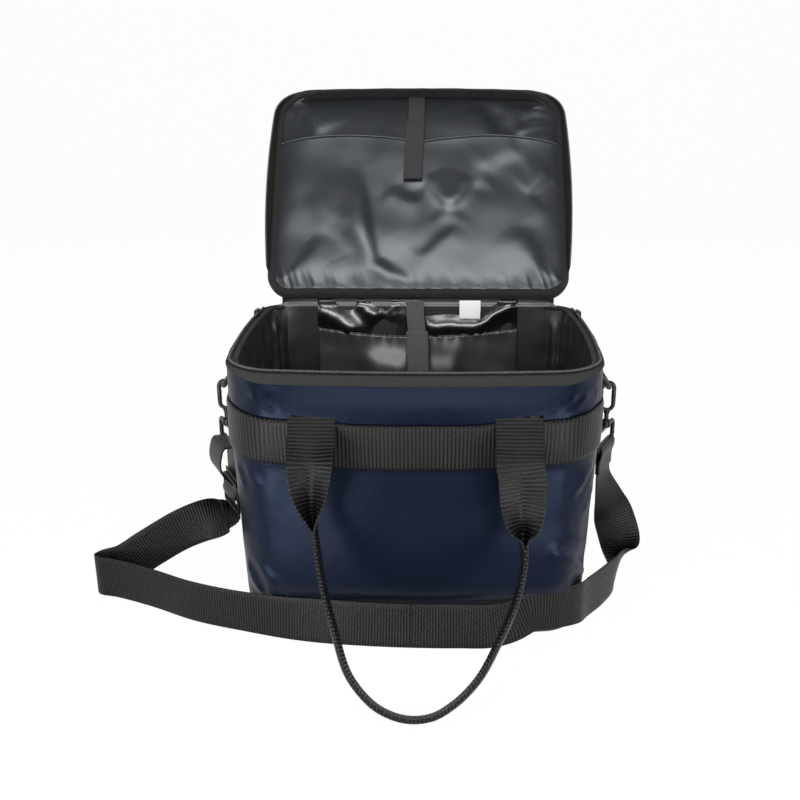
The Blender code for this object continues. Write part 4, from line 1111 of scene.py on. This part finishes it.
def make_hinge_tape():
    """Tape between the back rim and the lid."""
    x = np.linspace(-HINGE_WIDTH / 2, HINGE_WIDTH / 2, 80)
    heights = np.linspace(HINGE_FOOT, HINGE_TOP, 10)
    rows = []
    for z in heights:
        share = (z - HINGE_FOOT) / (HINGE_TOP - HINGE_FOOT)
        y = blend_between(HINGE_TAPE_FOOT_Y, HINGE_TAPE_TOP_Y, share) + 0.0005 * ripple(x, z, 0.04)
        rows.append(at_height(np.column_stack([x, y]), z))
    strip = add_sheet("hinge_tape", np.array(rows), SHELL_THICK, DARK_TAPE, uv=band_uv(x, heights),
                      stands_for=("hinge_strip",))
    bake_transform(strip)


# Pockets and closing straps


def closing_strap(name, lines, half_width, thick, material, **where):
    """Flat tape down a middle line of points."""
    line = smooth_line(lines, 0.0015)
    side = np.linspace(-half_width, half_width, 9)
    grid = line[:, None] + np.array([1.0, 0.0, 0.0]) * side[None, :, None]
    add_sheet(name, grid[::-1], thick, material, uv=strap_uv(lengths(line)[::-1], side), **where)


def back_y(z):
    return BODY_DEPTH / 2 - lean_in(z)


def rear_sheet(name, top_edge, stand, material, **where):
    """Sheet on the inside of the back wall; stand(x, z) comes off it towards the front."""
    x = np.linspace(-REAR_HALF, REAR_HALF, 97)
    share = np.linspace(0.0, 1.0, 70)[:, None]
    z = blend_between(REAR_FOOT, top_edge(x), share)
    x = np.broadcast_to(x, z.shape)
    grid = np.stack([x, back_y(z) - REAR_DEPTH - stand(x, z), z], -1)
    sheet = add_sheet(name, grid, LINING_THICK, material, body="body", **where)


# Folds of the rear film: start, end (across, height), width, height
FILM_FOLDS = (
    ((-0.100, 0.2320), (-0.054, 0.2050), 0.0130, 0.0058),
    ((-0.062, 0.2380), (-0.036, 0.2180), 0.0085, 0.0040),
    ((0.002, 0.2110), (0.070, 0.2130), 0.0120, 0.0056),
    ((0.058, 0.2140), (0.096, 0.2380), 0.0080, 0.0050),
)
REAR_HALF = 0.096
REAR_FOOT = 0.060
REAR_DEPTH = 0.0082
REAR_MOUTH = 0.203
REAR_MOUTH_SAG = 0.008
LABEL_OFF = 0.0035
REAR_STRAP_OFF = 0.0052
LID_STRAP_OFF = 0.0090


def rear_mouth(x):
    return REAR_MOUTH + REAR_MOUTH_SAG * (x / REAR_HALF) ** 2


def make_rear_pocket():
    """Crumpled film and slack pocket inside the back wall."""
    def crumple(x, z):
        total = 0.0006 + 0.0008 * ripple(x, z, 0.045, 0.6)
        for start, end, width, height in FILM_FOLDS:
            total = total + fold(x, z, start, end, width, height)
        crushed = np.exp(-((x + 0.032) / 0.024) ** 2) * smooth((z - 0.216) / 0.010)
        tucked = 0.0050 * smooth((z - 0.2340) / 0.0045)
        return total - tucked + 0.0016 * crushed * np.abs(ripple(x, z, 0.017, 0.6))

    def slack(x, z):
        below = smooth((rear_mouth(x) - z) / 0.040)
        full = 0.0076 * np.exp(-((x + 0.029) / 0.024) ** 4) + 0.0060 * np.exp(-((x - 0.024) / 0.016) ** 4)
        gathers = np.sin(x * 2 * math.pi / 0.011 + 2 * np.sin(x * 50.0))
        pucker = 0.0008 * np.exp(-(rear_mouth(x) - z) / 0.005) * gathers
        return 0.0046 + below * full + pucker + 0.0010 * ripple(x, z, 0.06, 1.1)

    def film_top(x):
        return np.full(len(x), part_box("rear_film")[1].z)

    rear_sheet("rear_film_sheet", film_top, crumple, FILM, stands_for=("rear_film",))
    # the pocket's fabric and its hem take the lining copy lightened with painted light
    rear_sheet("rear_pocket_fabric", rear_mouth, slack, POCKET_LINING_PAINTED_LIGHT, stands_for=("rear_pocket",))
    x = np.linspace(-REAR_HALF, REAR_HALF, 120)
    z = rear_mouth(x)
    hem = np.stack([x, back_y(z) - REAR_DEPTH - slack(x, z) + 0.0003, z], 1)
    add_rod("rear_pocket_hem", hem, HEM_RADIUS, POCKET_LINING_PAINTED_LIGHT, sides=8, body="body")


def make_label():
    low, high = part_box("care_label")
    x = np.linspace(low.x, high.x, 13)
    z = np.linspace(low.z, high.z, 11)
    bend = 0.0008 * np.sin(np.linspace(0.0, 3.0, 11))
    x, z = np.meshgrid(x, z)
    y = np.broadcast_to((low.y - LABEL_OFF - bend)[:, None], x.shape)
    grid = np.stack([x, y, z], -1)
    add_sheet("blank_label", grid, LABEL_THICK, LABEL, uv=grid[..., [0, 2]], body="body",
              stands_for=("care_label",))


def make_rear_strap():
    """Hook patch and closing strap of the rear pocket."""
    low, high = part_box("rear_hook_patch")
    face = low.y - REAR_STRAP_OFF
    patch = [(0.0, face, z) for z in np.linspace(high.z, low.z, 3)]
    closing_strap("rear_hook_tape", patch, 0.010, HOOK_PATCH_THICK, LOOP_TAPE, body="body",
                  stands_for=("rear_hook_patch",))
    low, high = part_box("rear_pocket_strap")
    face = low.y - REAR_STRAP_OFF
    narrow = [(-0.003, face + 0.003, high.z), (-0.002, face + 0.001, high.z - 0.016),
              (0.0, face, high.z - 0.034)]
    wide = [(-0.0005, face - 0.0010, high.z - 0.029), (0.0, face - 0.0015, high.z - 0.050),
            (0.0005, face - 0.0010, low.z)]
    # the rear strap takes the hook-and-loop copy lightened with painted light
    closing_strap("rear_strap_tape", narrow, 0.0085, CLOSING_TAPE_THICK, LOOP_TAPE_PAINTED_LIGHT, body="rear_strap",
                  slot="webbing", stands_for=("rear_pocket_strap",))
    closing_strap("rear_strap_loop", wide, 0.0105, CLOSING_LOOP_THICK, LOOP_TAPE_PAINTED_LIGHT, body="rear_strap")


def make_lid_strap():
    """Closing strap and hook patch of the lid's pocket."""
    def on_lid(x, run, lift):
        return open_lid([x, HINGE_Y - run, LID_FACE - LID_STRAP_OFF - lift])

    narrow = [on_lid(-0.003, 0.218, -0.0070), on_lid(-0.003, 0.208, -0.0025), on_lid(-0.003, 0.190, 0.0),
              on_lid(-0.004, 0.172, 0.0)]
    wide = [on_lid(-0.004, 0.181, 0.0012), on_lid(-0.005, 0.150, 0.0010), on_lid(-0.006, 0.117, 0.0002)]
    patch = [on_lid(-0.004, 0.160, -0.0018), on_lid(-0.005, 0.140, -0.0018), on_lid(-0.006, 0.119, -0.0018)]
    closing_strap("lid_strap_tape", narrow, 0.0082, CLOSING_TAPE_THICK, LOOP_TAPE, body="lid_strap",
                  slot="webbing", stands_for=("lid_pocket_strap",))
    closing_strap("lid_strap_loop", wide, 0.0094, CLOSING_LOOP_THICK, LOOP_TAPE, body="lid_strap")
    closing_strap("lid_hook_tape", patch, 0.0090, HOOK_PATCH_THICK, LOOP_TAPE, body="lid",
                  stands_for=("lid_hook_patch",))


# Handles

# Loop from leg to leg, as in the solids: share of the spread, share of the reach, share folded
HANDLE_CURVE = (
    (-0.97, 0.0, 0.0), (-0.97, 0.10, 0.08), (-0.97, 0.165, 0.20), (-0.97, 0.19, 0.27), (-0.97, 0.24, 0.42),
    (-0.965, 0.29, 0.60), (-0.955, 0.34, 0.85), (-0.94, 0.38, 1.0), (-0.85, 0.55, 1.0), (-0.73, 0.70, 1.0),
    (-0.54, 0.88, 1.0), (-0.28, 0.97, 1.0), (0.0, 1.0, 1.0), (0.20, 0.99, 1.0), (0.39, 0.95, 1.0),
    (0.59, 0.88, 1.0), (0.80, 0.75, 1.0), (1.0, 0.58, 1.0), (1.06, 0.45, 1.0), (1.05, 0.40, 0.82),
    (1.045, 0.35, 0.48), (1.035, 0.29, 0.26), (1.025, 0.20, 0.10), (1.01, 0.165, 0.06), (1.01, 0.10, 0.02),
    (1.01, 0.0, 0.0),
)
FOLD_RADIUS = 0.0030
FOLD_DROP = 0.47
END_RINGS = 9.0
HANDLE_WIDTH = 0.0368
LEG_BULGE = 0.0065
LEG_PEAK = 0.17
LEG_END = 0.40
LEG_DIP = 0.012
TAIL_TOP = (0.0016, 0.0024)
TAIL_FOOT = (0.0034, -0.0010)
END_FOOT = 0.012
END_TOP = 0.0022
END_THICK = 0.0009
FRONT_PIVOT_Y = -0.122339
FRONT_LIFT = 0.0040
REAR_PIVOT_Y = 0.114913
REAR_LIFT = 0.0020


def folded_section(share):
    """Webbing folded lengthwise by a share of closed: outline points, and where each lies across."""
    half = HANDLE_WIDTH / 2
    across = np.linspace(-half, half, 41)
    closed = math.pi / 2 + math.asin(0.9 * FOLD_RADIUS / half)
    turn = share * closed * np.tanh(across / FOLD_RADIUS)
    step = np.diff(across)
    middle = (turn[1:] + turn[:-1]) / 2
    x = np.concatenate([[0.0], np.cumsum(np.cos(middle) * step)])
    y = np.concatenate([[0.0], np.cumsum(np.sin(middle) * step)])
    crease = len(across) // 2
    line = np.stack([x - x[crease], y - y[crease] - share * half * FOLD_DROP], 1)
    normal = np.stack([-np.sin(turn), np.cos(turn)], 1) * WEB_THICK / 2
    outline = np.concatenate([line + normal, (line - normal)[::-1]])
    return outline, np.concatenate([across, across[::-1]])


def make_handle(name, facing, pivot_y, lift):
    """Carrying loop over the belt, folded lengthwise where it is held, and its sewn ends."""
    fold_place = np.array([0.0, pivot_y + facing * lift, HANDLE_FOLD_Z])
    along = np.array([0.0, facing * math.cos(HANDLE_SLOPE), -math.sin(HANDLE_SLOPE)])
    upright = np.array([0.0, facing * math.sin(HANDLE_SLOPE), math.cos(HANDLE_SLOPE)])
    sideways = np.array([-facing, 0.0, 0.0])
    rows = []
    for spread, reach, share in HANDLE_CURVE:
        bulge = np.interp(reach, (0.0, LEG_PEAK, LEG_END, 0.75), (0.0, LEG_BULGE, -LEG_DIP, 0.0))
        point = fold_place + sideways * spread * HANDLE_SPREAD + along * reach * HANDLE_REACH
        rows.append([*(point + upright * bulge), share])
    tails = []
    for row in (rows[0], rows[-1]):
        for inwards, rise in (TAIL_FOOT, TAIL_TOP):
            tails.append([row[0], fold_place[1] - facing * inwards, HANDLE_FOLD_Z + rise, 0.0])
    line = smooth_line(tails[:2] + rows + tails[:1:-1])
    centres = line[:, :3]
    shares = np.clip(line[:, 3], 0.0, 1.0)
    ahead = unit(np.gradient(centres, axis=0))
    sides = unit(np.cross(upright, ahead))
    rings = np.arange(len(line))
    from_end = smooth(np.minimum(rings, rings[::-1]) / END_RINGS)[:, None]
    level = -sideways * np.sign(np.sum(sides * -sideways, axis=1))[:, None]
    sides = unit(blend_between(level, sides, from_end))
    made = [folded_section(share) for share in shares]
    sections = np.array([outline for outline, _ in made])
    points, faces = sweep(centres, sides, np.cross(ahead, sides), sections)
    uv = strap_uv(lengths(centres), made[0][1])
    loop = add_mesh(name + "_handle_webbing", points, faces, WEBBING, stands_for=(name + "_handle",), uv=uv)
    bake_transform(loop)

    left_first = rows if facing < 0 else rows[::-1]
    y = fold_place[1] - facing * TAIL_FOOT[0]
    for word, row in (("left", left_first[0]), ("right", left_first[-1])):
        heights = np.linspace(BELT_FOOT + END_FOOT, HANDLE_FOLD_Z + END_TOP, 5)
        stations = [((row[0], y, z), (1.0, 0.0, 0.0)) for z in heights]
        node = name + "_" + word + "_handle_anchor"
        add_strap(node.replace("anchor", "end"), stations, WEBBING, thick=END_THICK, body="body",
                  stands_for=(node,))


# Clips at the ends of the shoulder strap

BAR_X = 0.15669
BAR_Z = 0.203
TAB_WIDTH = 0.028
TAB_THICK = 0.0013
TAB_BEND = 0.0030
RING_WIRE = 0.0025
RING_HALF_WIDTH = 0.020
RING_CORNER = 0.004
RING_DROP = 0.021
RING_TILT = math.radians(36.0)
HOOK_WIRE = 0.0017
HOOK_ARC = 0.0052
HOOK_CROWN = -0.0023
HOOK_HEEL = -0.0173
SHANK_RADIUS = 0.002
SHANK_LENGTH = 0.013
EYE_WIRE = 0.002
EYE_WIDTH = 0.044
EYE_HEIGHT = 0.018
EYE_CORNER = 0.0045
BRIDGE_Z = 0.1481
LOOP_BEND = 0.00335
LOOP_SEWN = 0.00105
SLIDER_RADIUS = 0.0026
PULL_THICK = 0.0011
SLIDE_Z = 0.0808
SLIDE_WIDTH = 0.046
SLIDE_HEIGHT = 0.030
SLIDE_BAR = 0.0016
SLIDE_CORNER = 0.003
GATE_WIRE = 0.0014
BOSS_RADIUS = 0.0042


def arc(centre, radius, start, end, count=9):
    turns = np.radians(np.linspace(start, end, count))
    return [(centre[0] + radius * math.cos(t), centre[1] + radius * math.sin(t)) for t in turns]


def rounded_frame(half, low, high, corner):
    """Closed rounded rectangle as (across, up) points."""
    points = arc((half - corner, low + corner), corner, -90, 0)
    points += arc((half - corner, high - corner), corner, 0, 90)
    points += arc((corner - half, high - corner), corner, 90, 180)
    return points + arc((corner - half, low + corner), corner, 180, 270)


def spread_line(points, spacing=0.0008, looped=False):
    """Points at an even spacing along straight stretches and arcs."""
    points = np.array(list(points) + (list(points)[:1] if looped else []), float)
    run = lengths(points)
    even = np.linspace(0.0, run[-1], max(int(run[-1] / spacing), 8), endpoint=not looped)
    return np.stack([np.interp(even, run, points[:, k]) for k in range(points.shape[1])], 1)


def upright_line(x, z):
    """Points above one another in the middle of the bag's depth."""
    return np.stack([np.full(len(z), x), np.zeros(len(z)), z], 1)


def make_tab(side, name):
    """Webbing tab that is sewn to the belt and folded over the D-ring's bar."""
    bends = [(-TAB_BEND, z - BAR_Z) for z in (BELT_TOP - 0.004, BELT_TOP + 0.003, BAR_Z - 0.002)]
    bends += arc((0.0, 0.0), TAB_BEND, 180, -90, 8) + [(-0.0011, -0.0058), (-0.0012, -0.0105)]
    tab = [((side * (BAR_X + u), 0.0, BAR_Z + w), (0.0, 1.0, 0.0)) for u, w in bends]
    add_strap(name + "_tab", tab, WEBBING, TAB_WIDTH, TAB_THICK, body="body",
              stands_for=(name + "_ring_tab",))


def make_ring(side, name):
    """D-ring in the tab's fold; returns the middle of its bow."""
    bar = np.array([side * BAR_X, 0.0, BAR_Z])
    down = np.array([side * math.sin(RING_TILT), 0.0, -math.cos(RING_TILT)])
    inner = RING_HALF_WIDTH - RING_CORNER
    shape = arc((inner, RING_CORNER), RING_CORNER, -90, 0)
    for turn in np.linspace(0.0, math.pi, 28)[1:-1]:
        drop = RING_CORNER + (RING_DROP - RING_CORNER) * math.sin(turn)
        shape.append((RING_HALF_WIDTH * math.cos(turn), drop))
    shape += arc((-inner, RING_CORNER), RING_CORNER, 180, 270)
    shape = spread_line(shape, looped=True)
    path = bar + shape[:, :1] * np.array([0.0, 1.0, 0.0]) + shape[:, 1:] * down
    add_rod(name + "_ring_wire", path, RING_WIRE, NYLON, looped=True, body=name + "_ring",
            stands_for=(name + "_d_ring",))
    return bar + down * RING_DROP


def make_hook(side, name, bow):
    """Snap hook that hangs in the ring's bow, with its shank and its sprung gate."""
    shape = [(-HOOK_ARC, HOOK_CROWN - 0.001)] + arc((0.0, HOOK_CROWN), HOOK_ARC, 180, 0, 17)
    shape += arc((0.0, HOOK_HEEL), HOOK_ARC, 0, -180, 17)
    shape = spread_line(shape, 0.0006)
    path = bow + upright_line(0.0, shape[:, 1]) + np.outer(shape[:, 0], (side, 0.0, 0.0))
    share = np.linspace(0.0, 1.0, len(path))
    nose = 0.22 * np.exp(-((share - 0.03) / 0.03) ** 2)
    radius = HOOK_WIRE * (1.0 + nose + 0.18 * np.sin(math.pi * share) ** 4)
    radius[[0, -1]] = HOOK_WIRE * 0.5
    add_rod(name + "_hook_wire", path, radius, METAL, body=name + "_hook",
            stands_for=(name + "_snap_hook",))
    top = bow[2] + HOOK_HEEL - HOOK_ARC + 0.001
    z = np.linspace(top, top - SHANK_LENGTH - 0.001, 40)
    ridges = np.where(np.abs((z - top + 0.003) / 0.0012) < 1.0, 0.0007, 0.0)
    add_rod(name + "_hook_shank", upright_line(bow[0], z), SHANK_RADIUS + ridges, METAL, body=name + "_hook")
    z = np.linspace(bow[2] + HOOK_HEEL + 0.0006, bow[2] + HOOK_CROWN - 0.0013, 24)
    share = np.linspace(0.0, 1.0, len(z))
    rounded = np.sqrt(np.clip(np.minimum(share, 1 - share) * 14.0 + 0.25, 0.0, 1.0))
    radius = GATE_WIRE * (1.0 - 0.15 * share) * rounded
    line = upright_line(bow[0] - side * HOOK_ARC, z)
    add_rod(name + "_gate_wire", line, radius, METAL, body=name + "_gate",
            stands_for=(name + "_hook_gate",))


def make_eye(side, name, bow):
    """Swivel eye under the hook; returns its foot and its directions across, out and up."""
    across = np.array([side * math.cos(EYE_YAW), math.sin(EYE_YAW), 0.0])
    out = np.array([side * math.sin(EYE_YAW), -math.cos(EYE_YAW), 0.0])
    rise = np.array([0.0, 0.0, 1.0])
    foot = np.array([bow[0], 0.0, BRIDGE_Z - EYE_HEIGHT])
    shape = spread_line(rounded_frame(EYE_WIDTH / 2, 0.0, EYE_HEIGHT, EYE_CORNER), looped=True)
    path = foot + shape[:, :1] * across + shape[:, 1:] * rise
    add_rod(name + "_eye_wire", path, EYE_WIRE, METAL, looped=True, body=name + "_eye",
            stands_for=(name + "_swivel_eye",))
    z = np.linspace(BRIDGE_Z - 0.0012, BRIDGE_Z + 0.0066, 24)
    share = np.linspace(0.0, 1.0, len(z))
    radius = BOSS_RADIUS * np.minimum(1.0, 0.62 + 2.2 * np.minimum(share, 1 - share))
    add_rod(name + "_eye_boss", upright_line(bow[0], z), radius, METAL, sides=20, body=name + "_eye")
    return foot, across, out, rise


def make_clip(side, name):
    """Tab, D-ring, snap hook with its gate, and swivel eye on one side."""
    make_tab(side, name)
    bow = make_ring(side, name)
    make_hook(side, name, bow)
    return make_eye(side, name, bow)


def make_strap_loop(name, clip, outer, inner):
    """End of the shoulder strap doubled over the eye's lower bar; sides are (outward, upward) points."""
    foot, across, out, rise = clip
    points = list(outer) + arc((0.0, 0.0), LOOP_BEND, 30, 180, 7) + list(inner)
    stations = [(foot + out * a + rise * b, across) for a, b in points]
    loop, _ = add_strap(name + "_strap_end", stations, STRAP_WEBBING)
    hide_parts(name + "_strap_loop")
    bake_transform(loop)


def make_adjuster(clip):
    """Three-bar slide below the left loop."""
    foot, across, out, rise = clip
    centre = np.array([foot[0], 0.0, SLIDE_Z])
    half_width, half_height = SLIDE_WIDTH / 2 - SLIDE_BAR, SLIDE_HEIGHT / 2 - SLIDE_BAR
    shape = spread_line(rounded_frame(half_width, -half_height, half_height, SLIDE_CORNER), looped=True)
    path = centre + shape[:, :1] * across + shape[:, 1:] * rise
    add_rod("slide_frame", path, SLIDE_BAR, NYLON, looped=True, body="left_ring",
            stands_for=("strap_adjuster",))
    path = centre + np.linspace(-half_width, half_width, 12)[:, None] * across
    add_rod("slide_middle_bar", path, SLIDE_BAR, NYLON, body="left_ring")
    through = ((-0.0012, 0.0200), (-0.0012, 0.0110), (0.0028, 0.0), (-0.0012, -0.0110), (-0.0012, -0.0190))
    stations = [(centre + out * a + rise * b, across) for a, b in through]
    add_strap("slide_webbing", stations, STRAP_WEBBING, body="left_ring")


def make_slider(name):
    """Low slider over the coil, and its pull hanging outside the rim."""
    low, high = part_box(name + "_zip_slider")
    share = np.linspace(0.0, 1.0, 24)
    across = np.full(len(share), (low.x + high.x) / 2)
    line = at_height(np.column_stack([across, blend_between(low.y, high.y, share)]), BODY_COIL_Z)
    radius = SLIDER_RADIUS * np.sqrt(np.clip(1.0 - (2 * share - 1) ** 6, 0.15, 1.0))
    add_rod(name + "_slider_body", line, radius, METAL, body=name + "_slider",
            stands_for=(name + "_zip_slider",))
    low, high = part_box(name + "_zip_pull")
    x, y = (low.x + high.x) / 2, (low.y + high.y) / 2
    stations = [((x, y, z), (0.0, 1.0, 0.0)) for z in np.linspace(BODY_COIL_Z + 0.001, low.z, 5)]
    add_strap(name + "_pull_tab", stations, METAL, high.y - low.y, PULL_THICK, body=name + "_pull",
              stands_for=(name + "_zip_pull",))


def make_hardware():
    right = make_clip(1, "right")
    left = make_clip(-1, "left")
    sewn = [(LOOP_SEWN, -0.022), (LOOP_SEWN + 0.0003, -0.011), (LOOP_BEND, -0.002)]
    make_strap_loop("right", right, sewn, [(-a, b) for a, b in sewn[::-1]])
    outer = [(LOOP_BEND, -0.034), (0.0125, -0.0204), (0.0125, -0.0085), (0.0075, 0.002)]
    inner = [(-LOOP_BEND, -0.002), (-LOOP_BEND, -0.017), (-LOOP_BEND, -0.0331)]
    make_strap_loop("left", left, outer, inner)
    make_adjuster(left)
    for name in ("left", "right"):
        make_slider(name)


make_camera()
make_floor()
make_light()
make_strap()
make_shell()
make_base()
make_rim()
make_belt()
make_body_zip()
make_lining()
make_lid_fabrics()
make_binding()
make_lid_zip()
make_front_tape()
make_hinge_tape()
make_rear_pocket()
make_label()
make_rear_strap()
make_lid_strap()
make_handle("front", -1, FRONT_PIVOT_Y, FRONT_LIFT)
make_handle("rear", 1, REAR_PIVOT_Y, REAR_LIFT)
make_hardware()
